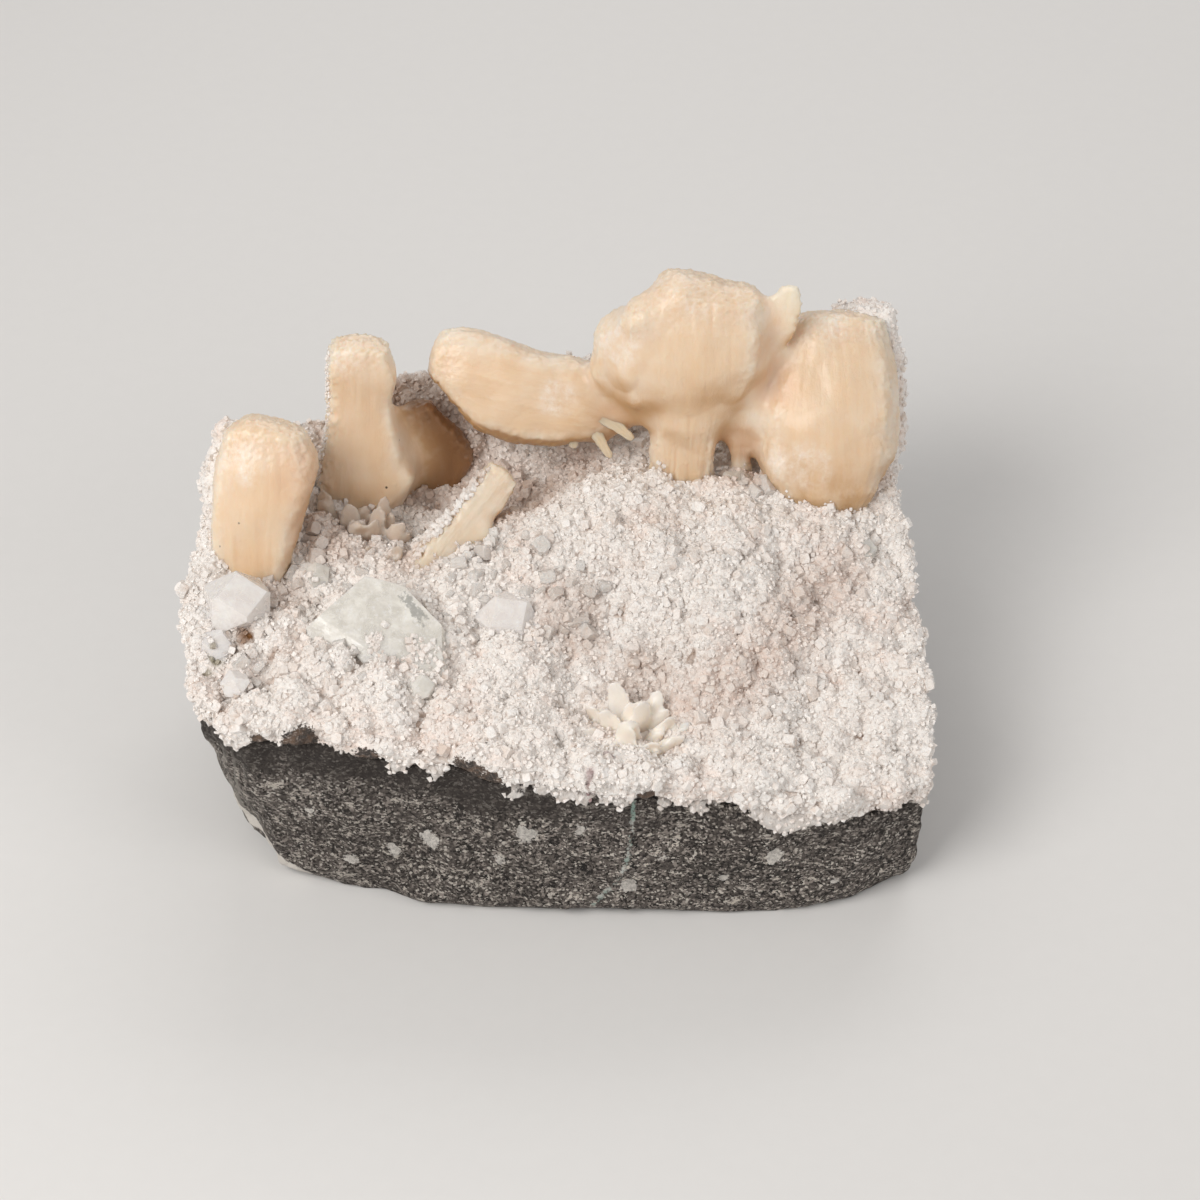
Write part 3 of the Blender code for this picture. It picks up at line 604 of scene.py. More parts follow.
def scattered(points, faces, spacing, rng, wanted=None, tries=6.0):
    """(places, normals) spread over triangles, none closer together than the spacing."""
    corners = points[faces]
    across = np.cross(corners[:, 1] - corners[:, 0], corners[:, 2] - corners[:, 0])
    areas = np.linalg.norm(across, axis=1) / 2
    if wanted is not None:
        areas = areas * wanted[faces].mean(axis=1)
    count = int(tries * areas.sum() / spacing**2)
    chosen = rng.choice(len(faces), count, p=areas / areas.sum())
    shares = rng.dirichlet((1.0, 1.0, 1.0), count)
    places = (corners[chosen] * shares[:, :, None]).sum(axis=1)
    normals = across[chosen] / np.linalg.norm(across[chosen], axis=1, keepdims=True)
    cells = {}
    kept = []
    near = [(i, j, k) for i in (-1, 0, 1) for j in (-1, 0, 1) for k in (-1, 0, 1)]
    for index, (place, cell) in enumerate(zip(places.tolist(), (places // spacing).tolist())):
        a, b, c = cell
        crowded = any(
            math.dist(place, other) < spacing
            for i, j, k in near
            for other in cells.get((a + i, b + j, c + k), ())
        )
        if not crowded:
            cells.setdefault((a, b, c), []).append(place)
            kept.append(index)
    return places[kept], normals[kept]


# Courses and spots are measured in the frame of the model.
LIME_COURSE = ((-47.8, -26.0, 9.5), (-46.4, -28.1, 5.6), (-44.0, -31.5, 3.4),
               (-41.5, -34.3, 2.4), (-37.0, -36.8, 0.8), (-32.0, -38.4, 0.4))
# The vein and the spots lie on the front, where y is 0 here.
VEIN_COURSE = ((10.5, 0, 25.0), (10.8, 0, 19.8), (10.3, 0, 15.0), (9.9, 0, 11.4), (8.6, 0, 7.7),
               (6.6, 0, 5.0), (4.6, 0, 2.2))
SPOTS = (((-4.7, 0, 15.4), 1.4), ((3.1, 0, 16.8), 0.9), ((31.1, 0, 12.4), 1.5),
         ((10.3, 0, 6.3), 1.3), ((-8.4, 0, 10.3), 0.9), ((-18.5, 0, 12.6), 1.2),
         ((-30.5, 0, 6.5), 1.0), ((14.9, 0, 11.8), 0.9), ((-24.0, 0, 9.0), 1.0),
         ((24.0, 0, 8.0), 0.7), ((40.0, 0, 6.0), 0.7), ((-36.0, 0, 15.0), 0.8))
# Where the dark rock bites into the lower edge of the crust.
NOTCHES = (((-36.3, -35.4, 28.6), 3.0), ((-12.5, -39.2, 27.2), 2.6), ((-9.3, -39.9, 26.0), 1.8),
           ((-27.0, -36.4, 27.3), 1.9), ((-42.5, -33.5, 28.0), 1.6), ((-20.0, -37.8, 25.0), 1.6),
           ((24.5, -40.4, 20.4), 1.6), ((12.5, -41.0, 23.8), 1.4), ((45.0, -39.0, 17.6), 1.4))
RIM_REACH = 11.0
CREASE = ((41.0, -2.0, 32.0), (34.7, -11.9, 30.7), (29.3, -19.3, 29.7), (24.0, -24.3, 28.4),
          (19.0, -26.0, 27.4))
CREASE_REACH = 5.0
MOUND_MIDDLE = (14.0, 2.0)
MOUND_REACH = 14.0
FRONT_DEPTH = -34.0
FAR_AWAY = 50.0
DRUSE_CUTS = (-15.0, 20.0)


def distance_to_course(points, course):
    """How far each point is from a line through the course's places."""
    nearest = np.full(len(points), np.inf)
    for start, end in zip(course, course[1:]):
        start, end = np.array(start), np.array(end)
        run = end - start
        share = np.clip((points - start) @ run / (run @ run), 0.0, 1.0)
        nearest = np.minimum(nearest, np.linalg.norm(points - start - share[:, None] * run, axis=1))
    return nearest


def distance_to_spots(points, spots):
    """How far each point is from the nearest spot, as a share of the spot's reach."""
    return np.min([np.linalg.norm(points - middle, axis=1) / reach for middle, reach in spots],
                  axis=0)


def on_front(points):
    """The points pressed onto the plane of the front, with those behind it far away."""
    pressed = points * (1.0, 0.0, 1.0)
    pressed[points[:, 1] > FRONT_DEPTH, 1] = FAR_AWAY
    return pressed


def build_basalt(bed_points):
    points, faces, normals = node_mesh("basalt_matrix", BASALT_VOXEL, 2)
    form = 0.55 * fractal_at(points, 9.0, octaves=5) + 0.28 * fractal_at(points, 2.4, seed=3)
    steps = np.abs(noise_at(points * (1.0, 1.0, 1.6), 6.0, seed=8)) * 0.9
    above_base = smooth_step(points[:, 2], 0.2, 2.5)
    points = points + normals * ((form - steps + 0.1) * above_base)[:, None]
    to_crust = distances_to(points, bed_points)
    teeth = 0.9 + 3.6 * noise_at(points, 3.6, seed=9) + 1.6 * noise_at(points, 1.5)
    crusted = np.clip(teeth, -0.4, 3.2) - to_crust + 0.4
    below = points + (0.0, 0.0, 1.5)
    crusted = np.where(distance_to_spots(below, NOTCHES) < 1.5, -1.0, crusted)
    points = points + normals * 0.5 * smooth_step(crusted, -0.1, 0.5)[:, None]
    new_piece("basalt_rock", points, faces, basalt_material,
              replaces=("basalt_matrix",), smooth=True, attributes={
                  # rim: nearness to the crust, which sets the painted shade just below it.
                  "rim": 1.0 - smooth_step(to_crust, 1.0, RIM_REACH),
                  "crusted": crusted,
                  "from_lime": distance_to_course(points, LIME_COURSE),
                  "from_vein": distance_to_course(on_front(points), VEIN_COURSE),
                  "from_spot": distance_to_spots(on_front(points), SPOTS),
              })
    return points, faces, crusted


def near_to(places, middle, reach):
    """1 within the reach of a place on the crust, 0 beyond twice that."""
    gap = np.linalg.norm(places[:, :2] - middle, axis=1)
    return 1.0 - smooth_step(gap, reach, 2 * reach)


def crust_relief(points):
    """(lumps, hollow_shade): the swellings of the crust in millimetres, and 0 to 1 of painted shade
    where it dips.
    """
    fine = near_to(points, MOUND_MIDDLE, MOUND_REACH)
    crease = 1.0 - smooth_step(distance_to_course(points, CREASE), 0.5, CREASE_REACH)
    soft = smooth_step(points[:, 1], -18.0, -26.0) * smooth_step(points[:, 0], 8.0, -2.0)
    lumps = (2.2 - 0.9 * fine + 0.6 * soft) * (knobs_at(points, 4.2, seed=2) - 0.6)
    lumps += 0.6 * fractal_at(points, 6.0)
    knobs = (1.2 + 0.5 * crease) * (knobs_at(points, 2.1, seed=1) - 0.6)
    grains = (0.7 - 0.25 * soft) * (knobs_at(points, 1.05, 3, "CHEBYCHEV") - 0.45)
    # Painted shade where the relief dips, from 0 to 1.
    hollow_shade = smooth_step(0.5 * lumps + knobs + grains, 0.0, -0.8)
    return lumps + knobs + grains, hollow_shade


def build_bed():
    """The crust below its skin of crystals."""
    points, faces, normals = node_mesh("druse_crust", BED_VOXEL, 4)
    up = smooth_step(normals[:, 2], -0.2, 0.4)
    relief, _ = crust_relief(points)
    points = points + normals * ((np.minimum(relief, 0.2) - 0.5) * up)[:, None]
    new_piece("druse_bed", points, faces, bed_material,
              replaces=("druse_crust",), smooth=True)
    return points


# Spots on the druse: (x, y), reach and strength.
STAINS = (((-45.3, -19.1), 1.8, 1.0), ((19.2, -19.4), 0.9, 1.0), ((-41.0, -22.0), 1.2, 0.8))
MOSS = (((-49.2, -22.6), 1.5, 1.0), ((-50.2, -25.0), 1.0, 0.8))
WINE = (((7.4, -37.1), 0.9, 1.0), ((4.6, -40.9), 0.8, 0.8), ((9.4, -38.8), 0.6, 0.8))
# The next spots are painted brown shade in the pockets and valleys among and behind the sheaves.
BROWN_SHADE = (((-33.0, 1.0), 8.0, 0.8), ((-41.0, -11.0), 6.0, 0.6), ((2.0, -14.5), 7.0, 0.5),
           ((12.5, -21.0), 6.0, 0.6), ((-20.0, 22.0), 13.0, 1.0), ((-8.0, 12.0), 11.0, 1.0),
           ((-22.0, -3.0), 6.0, 0.5), ((28.0, 13.0), 6.0, 0.7), ((2.0, 17.0), 7.0, 0.8))
BLOCKY = (((-9.0, -5.0), 9.0, 1.0), ((-26.0, 5.0), 6.0, 1.0), ((-33.0, -2.0), 8.0, 1.0),
          ((-40.0, -10.0), 7.0, 1.0), ((1.0, -12.0), 7.0, 1.0), ((-12.0, -13.0), 6.0, 1.0),
          ((28.0, 9.0), 5.0, 1.0), ((-46.0, -24.0), 5.0, 0.6), ((-30.0, -24.0), 6.0, 0.4))


def spot_cover(places, spots):
    cover = np.zeros(len(places))
    for middle, reach, strength in spots:
        gap = np.linalg.norm(places[:, :2] - middle, axis=1)
        cover = np.maximum(cover, strength * (1.0 - smooth_step(gap, 0.5 * reach, reach)))
    return cover


def crust_colours(places, shade_and_tone):
    """Where the crust is pinkish or stained, and where painted shade darkens it in a dip or a brown
    pocket.
    """
    crease = 1.0 - smooth_step(distance_to_course(places, CREASE), 1.0, 1.6 * CREASE_REACH)
    warmth = smooth_step(noise_at(places, 9.0, seed=4) + 0.5 * noise_at(places, 2.5), -0.1, 0.7)
    cut = np.clip(0.75 + 0.5 * noise_at(places, 1.2, seed=6), 0.0, 1.0)
    marks = [spot_cover(places, spots) * cut for spots in (STAINS, MOSS, WINE)]
    # Painted brown shade in pockets among the sheaves, and some brown along the crease.
    brown_shade = np.maximum(spot_cover(places, BROWN_SHADE), 0.4 * crease) * cut
    brown_shade *= smooth_step(places[:, 1], 30.0, 27.0)
    return {
        "from_notch": distance_to_spots(places, NOTCHES),
        # tint: pink warmth, painted brown shade, and painted shade with some random tone.
        "tint": np.column_stack([np.maximum(warmth, crease), brown_shade, shade_and_tone]),
        "marks": np.column_stack(marks),
    }


def carpet(name, templates, places, normals, sizes, rng, lean=0.35, strongest=0.3, foot=0.8,
           material=None):
    """Crystals on the crust as one piece, with their colours as attributes.

    strongest is how dark the darkest of them is, and foot how much painted shade each has below,
    from 0 to 1.
    """
    kept = distance_to_spots(places, NOTCHES) > 1.0
    places, normals, sizes = places[kept], normals[kept], np.asarray(sizes)[kept]
    leaning = normals + lean * rng.normal(size=normals.shape)
    points, faces, owners = many(templates, places, leaning, sizes, rng)
    shade_and_tone = strongest * rng.uniform(0.0, 1.0, len(places)) ** 2
    colours = {key: values[owners] for key, values in crust_colours(places, shade_and_tone).items()}
    reach = sizes.reshape(len(sizes), -1).mean(axis=1)[owners]
    height = ((points - places[owners]) * normals[owners]).sum(axis=1) / reach
    # Painted shade on the lower part of each crystal, where it sits on the crust.
    low = foot * smooth_step(height, 0.3, -0.5)
    colours["tint"][:, 2] = np.maximum(colours["tint"][:, 2], low)
    new_piece(name, points, faces, material or grain_material, attributes=colours)


def build_skin():
    """The upper side of the crust: fused crystals, cut into left and right parts."""
    points, faces, normals = node_mesh("druse_crust", SKIN_VOXEL, 6)
    faces = faces[normals[faces][:, :, 2].mean(axis=1) > -0.45]
    used, faces = np.unique(faces, return_inverse=True)
    faces = faces.reshape(-1, 3)
    points, normals = points[used], normals[used]
    up = smooth_step(normals[:, 2], -0.3, 0.3)
    relief, hollow_shade = crust_relief(points)
    points = points + normals * (relief * (0.35 + 0.65 * up))[:, None]
    colours = crust_colours(points, hollow_shade)
    middles = points[faces][:, :, 0].mean(axis=1)
    for name, inside in (("left", middles < 0.0), ("right", middles >= 0.0)):
        kept, part = np.unique(faces[inside], return_inverse=True)
        new_piece(f"druse_skin_{name}", points[kept], part.reshape(-1, 3), crust_material,
                  smooth=True, attributes={key: value[kept] for key, value in colours.items()})
    return points, faces


def in_thirds(places):
    """(name, which places are inside) of the left, middle and right part of the crust."""
    part = np.digitize(places[:, 0], DRUSE_CUTS)
    return [(name, part == index) for index, name in enumerate(("left", "middle", "right"))]


def build_druse(skin_points, skin_faces):
    """Separate small crystals all over the crust."""
    rng = random_source(11)
    places, directions = scattered(skin_points, skin_faces, GRAIN_SPACING, rng)
    sizes = GRAIN_RADIUS * (1.0 + 0.35 * noise_at(places, 5.0, seed=6))
    sizes *= rng.uniform(0.5, 1.5, len(places))
    places = places + directions * (sizes * rng.uniform(-0.6, 0.1, len(places)))[:, None]
    templates = nuggets(8, 12, rng) + blocks(8, rng)
    for name, inside in in_thirds(places):
        carpet(f"druse_grains_{name}", templates, places[inside], directions[inside],
               sizes[inside], rng, lean=0.6)
    places, directions = scattered(skin_points, skin_faces, SPARK_SPACING, rng, tries=4.0)
    sizes = SPARK_RADIUS * rng.uniform(0.5, 1.5, len(places))
    lifted = places + directions * sizes[:, None] * rng.uniform(-0.3, 0.4, (len(places), 1))
    for name, inside in in_thirds(places):
        carpet(f"druse_sparks_{name}", chips(8, rng), lifted[inside], directions[inside],
               sizes[inside], rng, lean=1.0, strongest=0.2, foot=0.5, material=glint_material)


def build_frost(skin_points, skin_faces):
    """Larger clear blocks that stand between the sheaves and round the big crystal."""
    rng = random_source(14)
    wanted = spot_cover(skin_points, BLOCKY)
    places, directions = scattered(skin_points, skin_faces, BLOCK_SPACING, rng, wanted, tries=3.0)
    sizes = rng.uniform(0.45, 1.25, len(places))[:, None] * rng.uniform(0.6, 1.2, (len(places), 3))
    templates = blocks(12, rng, cut=0.6) + nuggets(8, 11, rng)
    carpet("frosty_blocks", templates, places, directions, sizes, rng, lean=1.0, foot=0.6,
           material=frosty_material)


def build_drift(meshes, skin_points):
    """Grains that have grown over the feet of the larger crystals."""
    rng = random_source(13)
    tree = tree_of(skin_points)
    places, normals = [], []
    for mesh in meshes:
        points, faces, _ = mesh_arrays(mesh)
        spread, directions = scattered(points, faces, DRIFT_SPACING, rng)
        gap = np.array([tree.find(place)[2] for place in spread])
        front = smooth_step(spread[:, 1], -17.0, -25.0)
        grown = gap < np.clip(0.4 + 0.7 * front + 1.4 * noise_at(spread, 2.5, seed=3), 0.2, 1.3)
        places.append(spread[grown])
        normals.append(directions[grown])
    places, normals = np.vstack(places), np.vstack(normals)
    sizes = rng.uniform(0.2, 0.55, len(places))
    carpet("druse_drift", nuggets(6, 14, rng) + blocks(6, rng), places, normals, sizes, rng,
           lean=0.8)


def build_rim(basalt_points, basalt_faces, crusted):
    """Grains on the crust's edge, which hangs in teeth over the broken basalt."""
    rng = random_source(12)
    wanted = (crusted > 0.25).astype(float)
    places, normals = scattered(basalt_points, basalt_faces, RIM_SPACING, rng, wanted)
    sizes = RIM_RADIUS * rng.uniform(0.6, 1.3, len(places))
    carpet("druse_rim", nuggets(8, 12, rng), places, normals, sizes, rng)


basalt_points, basalt_faces, crusted = build_basalt(build_bed())
skin_points, skin_faces = build_skin()
build_druse(skin_points, skin_faces)
build_frost(skin_points, skin_faces)
build_rim(basalt_points, basalt_faces, crusted)


def box_surface(steps):
    """(points from -1 to 1, quads) on the surface of a box, cut into steps along each axis."""
    points, quads = [], []
    start = 0
    for axis in range(3):
        u, v = (other for other in range(3) if other != axis)
        for sign in (-1, 1):
            grid = np.meshgrid(*(np.linspace(-1, 1, steps[a] + 1) for a in (u, v)), indexing="ij")
            side = np.full((grid[0].size, 3), float(sign))
            side[:, u], side[:, v] = grid[0].ravel(), grid[1].ravel()
            row = steps[v] + 1
            first = (np.arange(steps[u])[:, None] * row + np.arange(steps[v])).ravel() + start
            quad = np.column_stack([first, first + row, first + row + 1, first + 1])
            quads.append(quad if (sign > 0) != (axis == 1) else quad[:, ::-1])
            points.append(side)
            start += len(side)
    points, quads = np.vstack(points), np.vstack(quads)
    _, first, same = np.unique(np.round(points, 6), axis=0, return_index=True, return_inverse=True)
    return points[first], same.reshape(-1)[quads]


def through_stations(stations, places):
    """Smooth values at places between the stations, whose first number is their place."""
    table = np.array(stations, dtype=float)
    index = np.clip(np.searchsorted(table[:, 0], places, side="right") - 1, 0, len(table) - 2)
    share = (places - table[index, 0]) / (table[index + 1, 0] - table[index, 0])
    share = np.clip(share, 0.0, 1.0)[:, None]
    p0, p1, p2, p3 = (
        table[np.clip(index + offset, 0, len(table) - 1), 1:] for offset in (-1, 0, 1, 2)
    )
    curve = 2 * p1 + (p2 - p0) * share + (2 * p0 - 5 * p1 + 4 * p2 - p3) * share**2
    return (0.5 * (curve + (3 * p1 - p0 - 3 * p2 + p3) * share**3)).T


def sheaf(root, up, face, stations, seed, rounding=0.35, domes=(1.5, 1.0), peak=0.0, teeth=0.32,
          frill=(0.2, 0.2), ribs=0.1, deep=0.0, ochre=1.0, pallor=0.0, cell=SHEAF_CELL):
    """Tabular blades grown side by side: the form of the solid, and how it is detailed.

    stations, rounding, domes and peak are used as in the solid. teeth is the height of the
    teeth at the tips, frill that at the left and right edges, and ribs the depth of the
    striation. deep is painted shade over the whole form, from 0 to 2, for sheaves in the
    shadow of others; ochre is how dark its foot is, and pallor how pale the whole form is.
    """
    up, face = np.array(up, float), np.array(face, float)
    up /= np.linalg.norm(up)
    face -= up * face.dot(up)
    face /= np.linalg.norm(face)
    side = np.cross(up, face)
    table = np.array(stations)
    low, high = table[0, 0], table[-1, 0]
    width, depth = (table[:, 1] + table[:, 2]).max(), (table[:, 3] + table[:, 4]).max()
    steps = [max(3, round(reach / cell)) for reach in (high - low, width, depth)]
    box, quads = box_surface(steps)
    along, across, through = box.T
    height = low + (high - low) * (along + 1) / 2
    left, right, front, back = through_stations(stations, height)
    b = across * np.sqrt(1 - rounding * through**2)
    c = through * np.sqrt(1 - rounding * across**2)
    from_peak = np.where(along > 0, (b - peak) / np.where(b > peak, 1 - peak, 1 + peak), b)
    bulge = 1 - 0.65 * from_peak**2 - 0.35 * c * c
    ending = np.copysign(np.abs(along)**4, along)
    height = height + ending * np.where(along < 0, domes[1], domes[0]) * bulge
    u = b * np.where(b > 0, right, left)
    w = c * np.where(c > 0, front, back)
    points = np.array(root) + height[:, None] * up + u[:, None] * side + w[:, None] * face
    tip = smooth_step(along, 0.6, 1.0)
    edge = smooth_step(np.abs(across), 0.72, 1.0)
    flare = np.column_stack([across * width / 2, 0.08 * height, through * depth / 2])
    return {
        "points": points,
        "quads": quads,
        "growth": np.column_stack([u, height, w]) * MM + seed * 0.01,
        "flare": flare + 7.0 * seed,
        "box": box,
        "ends": np.column_stack([
            tip * (deep == 0.0), np.maximum(edge * (deep == 0.0), pallor),
            # Third number: the larger of the ochre foot and the painted shade of deep.
            np.maximum(ochre * smooth_step(-along, 0.0, 1.0), deep),
        ]),
        "relief": np.column_stack([
            teeth * tip, edge * np.where(across < 0, frill[0], frill[1]), np.full(len(tip), ribs)
        ]),
    }


def mesh_from(points, faces):
    mesh = bpy.data.meshes.new("form")
    mesh.from_pydata(points * MM, [], faces)
    return mesh


def edges_of(faces):
    """The edges of a mesh of triangles or quads, each once."""
    pairs = np.stack([faces, np.roll(faces, -1, axis=1)], axis=2).reshape(-1, 2)
    return np.unique(np.sort(pairs, axis=1), axis=0)


def gathered(forms):
    """(points, quads) of forms side by side."""
    starts = np.cumsum([0] + [len(form["points"]) for form in forms])
    points = np.vstack([form["points"] for form in forms])
    return points, np.vstack([form["quads"] + start for form, start in zip(forms, starts)])


def fused(forms, voxel):
    """Overlapping closed forms as one even mesh: points and triangles."""
    points, triangles, _ = voxel_mesh(mesh_from(*gathered(forms)), voxel)
    return points, triangles


def neighbour_mean(values, edges):
    """The mean of each point's neighbours."""
    ends = np.concatenate([edges, edges[:, ::-1]])
    count = np.bincount(ends[:, 0], minlength=len(values))
    columns = values.reshape(len(values), -1)
    sums = [
        np.bincount(ends[:, 0], weights=column[ends[:, 1]], minlength=len(values))
        for column in columns.T
    ]
    return (np.column_stack(sums) / np.maximum(count, 1)[:, None]).reshape(values.shape)


def faded(marks, edges, rounds, gain):
    """Marks of 1 on some points that fade to 0 over their neighbours."""
    for _ in range(rounds):
        marks = np.maximum(marks, neighbour_mean(marks, edges) * gain).clip(0.0, 1.0)
    return marks


def detail_of(forms):
    """(growth, flare, ends, relief) of the points of all the forms."""
    return [
        np.vstack([form[key] for form in forms]) for key in ("growth", "flare", "ends", "relief")
    ]


def detailed(points, triangles, flare, relief):
    """The points with teeth, frills and striation along their normals."""
    normals = vertex_normals(points, triangles)
    rise = relief[:, 0] * (0.8 * noise_at(flare * (1, 0, 1), 0.8) + 0.6 * noise_at(points, 0.5))
    rise += relief[:, 1] * (noise_at(points, 0.9, 3) + 0.6 * noise_at(points, 0.5, 4))
    rise += relief[:, 2] * (noise_at(flare, 0.6, 5) + 0.9 * noise_at(flare, 1.7, 6))
    return points + normals * rise[:, None]


# Patches on the sheaves: place and reach.
FROSTED = (((32.2, 9.5, 43.3), 3.6), ((16.3, 20.0, 68.0), 4.0), ((8.0, 16.0, 61.0), 6.0),
           ((-46.2, -2.0, 52.0), 5.0), ((-32.0, 12.0, 60.0), 5.0), ((40.0, 21.0, 61.0), 4.5),
           ((20.0, 17.0, 67.0), 3.0), ((-0.5, 16.5, 50.0), 4.0), ((37.0, 8.0, 44.0), 5.0))
# The next spots are an orange flush; the two on the left sheaf are painted shade on its turned-away
# right side.
FLUSH_AND_SHADE = (((32.2, 16.6, 52.3), 5.5), ((27.2, 14.8, 43.2), 5.0), ((-37.0, -1.2, 49.0), 7.0),
           ((-38.0, -1.0, 41.0), 7.0), ((8.0, 17.0, 46.0), 4.5), ((31.0, 15.0, 60.0), 4.0))


def patch_colours(points, triangles):
    """(frosted, orange flush and painted shade, painted shade on downward faces) of each point,
    from 0 to 1.
    """
    frosted, flush_and_shade = (
        1.0 - smooth_step(distance_to_spots(points, spots), 0.4, 1.0)
        for spots in (FROSTED, FLUSH_AND_SHADE)
    )
    # Painted shade on faces that turn downward.
    down = smooth_step(vertex_normals(points, triangles)[:, 2], 0.15, -0.45)
    return np.column_stack([frosted, flush_and_shade, down])


def united(name, forms, material, replaces, voxel=SHEAF_CELL, swell=0.8, rounds=SEAM_ROUNDS,
           shadowed=1.0):
    """One piece from overlapping forms that have grown into each other with soft seams.

    shadowed is how strong the painted shade on the undersides is.
    """
    points, triangles = fused(forms, voxel)
    edges = edges_of(triangles)
    tree = tree_of(gathered(forms)[0])
    source = np.array([tree.find(point)[1] for point in points])
    growth, flare, ends, relief = (values[source] for values in detail_of(forms))
    owners = np.concatenate([np.full(len(form["points"]), i) for i, form in enumerate(forms)])
    owner = owners[source]
    crossing = edges[owner[edges[:, 0]] != owner[edges[:, 1]]]
    on_seam = np.zeros(len(points))
    on_seam[crossing.ravel()] = 1.0
    seam = faded(on_seam, edges, SEAM_WIDTH, 1.5)
    softness = (0.05 + 0.95 * seam)[:, None]
    relief = relief * (1.0 - seam)[:, None]
    for _ in range(rounds):
        points = points + 0.5 * softness * (neighbour_mean(points, edges) - points)
        ends = ends + softness * (neighbour_mean(ends, edges) - ends)
        relief = relief + softness * (neighbour_mean(relief, edges) - relief)
    normals = vertex_normals(points, triangles)
    slow = 0.9 * (knobs_at(points, 8.5, seed=7) - 0.6) + 0.5 * noise_at(points, 4.5, 7)
    points = points + normals * (swell * slow)[:, None]
    patches = patch_colours(points, triangles) * (1.0, 1.0, shadowed)
    new_piece(name, detailed(points, triangles, flare, relief), triangles, material,
              replaces=replaces, smooth=True, attributes={
                  "growth": growth, "ends": ends, "patches": patches,
                  "calm": 1.0 - faded(on_seam, edges, CALM_WIDTH, 1.3),
              })


def separate(name, forms, material):
    """One piece from thin blades that keep their own edges."""
    points, quads = gathered(forms)
    triangles = np.vstack([quads[:, (0, 1, 2)], quads[:, (0, 2, 3)]])
    growth, flare, ends, relief = detail_of(forms)
    new_piece(name, detailed(points, triangles, flare, relief), triangles, material,
              smooth=True, attributes={
                  "growth": growth, "ends": ends, "patches": np.zeros_like(points),
                  "calm": np.ones(len(points)),
              })


def crusty(name, form, seed):
    """A wall of white crust behind a sheaf, with its grains."""
    rng = random_source(seed)
    points, triangles = fused([form], WALL_VOXEL)
    normals = vertex_normals(points, triangles)
    relief, hollow_shade = crust_relief(points)
    points = points + 0.6 * normals * relief[:, None]
    # Half-strength painted shade where the wall's relief dips.
    colours = crust_colours(points, 0.5 * hollow_shade)
    new_piece(name, points, triangles, crust_material, smooth=True, attributes=colours)
    places, directions = scattered(points, triangles, WALL_SPACING, rng)
    sizes = WALL_RADIUS * rng.uniform(0.5, 1.4, len(places))
    carpet(f"{name}_grains", nuggets(8, 12, rng) + blocks(8, rng), places, directions, sizes,
           rng, lean=0.6, foot=0.5)


def fringe(name, form, sizes, spacing, seed):
    """Small white crystals along the left edge of a sheaf."""
    rng = random_source(seed)
    along, across, through = form["box"].T
    inside = (across < -0.92) & (np.abs(through) < 0.7) & (along < 0.92)
    places = form["points"][inside]
    order = rng.permutation(len(places))
    kept = []
    for index in order:
        if all(np.linalg.norm(places[index] - places[other]) > spacing for other in kept):
            kept.append(index)
    middle = form["points"].mean(axis=0)
    outward = places[kept] - middle
    outward /= np.linalg.norm(outward, axis=1, keepdims=True)
    carpet(name, spikes(10, rng), places[kept], outward, rng.uniform(*sizes, len(kept)), rng,
           lean=0.5, strongest=0.0)


def left_sheaf():
    return [sheaf(
        root=(-44.6, -5.0, 33.5), up=(0.03, 0.4, 0.92), face=(-0.1, -0.92, 0.4),
        rounding=0.34, domes=(3.0, 1.0), peak=-0.15, teeth=0.32, seed=11, stations=(
            (-6.0, 6.6, 4.0, 3.5, 7.0),
            (0.0, 6.9, 4.2, 3.8, 7.5),
            (6.0, 6.8, 5.6, 4.2, 8.0),
            (12.0, 6.6, 7.6, 4.4, 8.0),
            (17.0, 6.2, 8.6, 4.0, 7.5),
            (20.8, 4.9, 7.0, 3.0, 6.0),
        ),
    )]


def tall_sheaf():
    front = sheaf(
        root=(-30.0, 14.0, 46.0), up=(0.02, 0.15, 0.98), face=(0.05, -1.0, 0.2),
        rounding=0.28, domes=(1.4, 0.8), teeth=0.45, frill=(0.5, 0.1), ochre=0.0, seed=12,
        stations=(
            (-12.5, 6.0, 6.0, 3.2, 3.2),
            (-8.0, 6.6, 8.4, 3.4, 3.4),
            (-4.3, 5.9, 6.7, 2.9, 3.0),
            (1.0, 4.8, 5.4, 2.4, 2.8),
            (5.5, 4.7, 5.2, 2.4, 2.8),
            (9.7, 4.7, 5.7, 2.8, 3.2),
            (13.6, 4.1, 4.6, 2.6, 3.0),
        ),
    )
    # The rear and far sheaves get painted shade through deep.
    rear = sheaf(
        root=(-27.0, 17.0, 45.0), up=(0.0, 0.1, 1.0), face=(0.3, -1.0, 0.1), deep=0.8, seed=13,
        stations=(
            (-13.5, 1.0, 5.0, 2.0, 2.0),
            (-8.5, 1.5, 9.0, 2.2, 2.2),
            (-3.4, 2.5, 6.2, 2.0, 2.0),
            (1.0, 2.5, 3.0, 1.8, 1.8),
            (3.5, 2.0, 2.0, 1.5, 1.5),
        ),
    )
    far = sheaf(
        root=(-22.0, 19.5, 44.0), up=(-0.15, 0.1, 1.0), face=(0.25, -1.0, 0.0), deep=2.0, seed=14,
        stations=(
            (-14.0, 4.0, 4.0, 2.2, 2.2),
            (-9.0, 5.5, 7.5, 2.4, 2.4),
            (-4.0, 5.0, 6.0, 2.2, 2.2),
            (1.0, 3.0, 3.0, 1.8, 1.8),
        ),
    )
    stub = sheaf(
        root=(-27.0, 13.0, 33.0), up=(0.1, 0.2, 1.0), face=(0.0, -1.0, 0.2), seed=15,
        stations=((-6.0, 2.6, 2.6, 2.0, 2.0), (7.0, 3.6, 4.2, 2.4, 2.4)),
    )
    return [front, rear, far, stub]


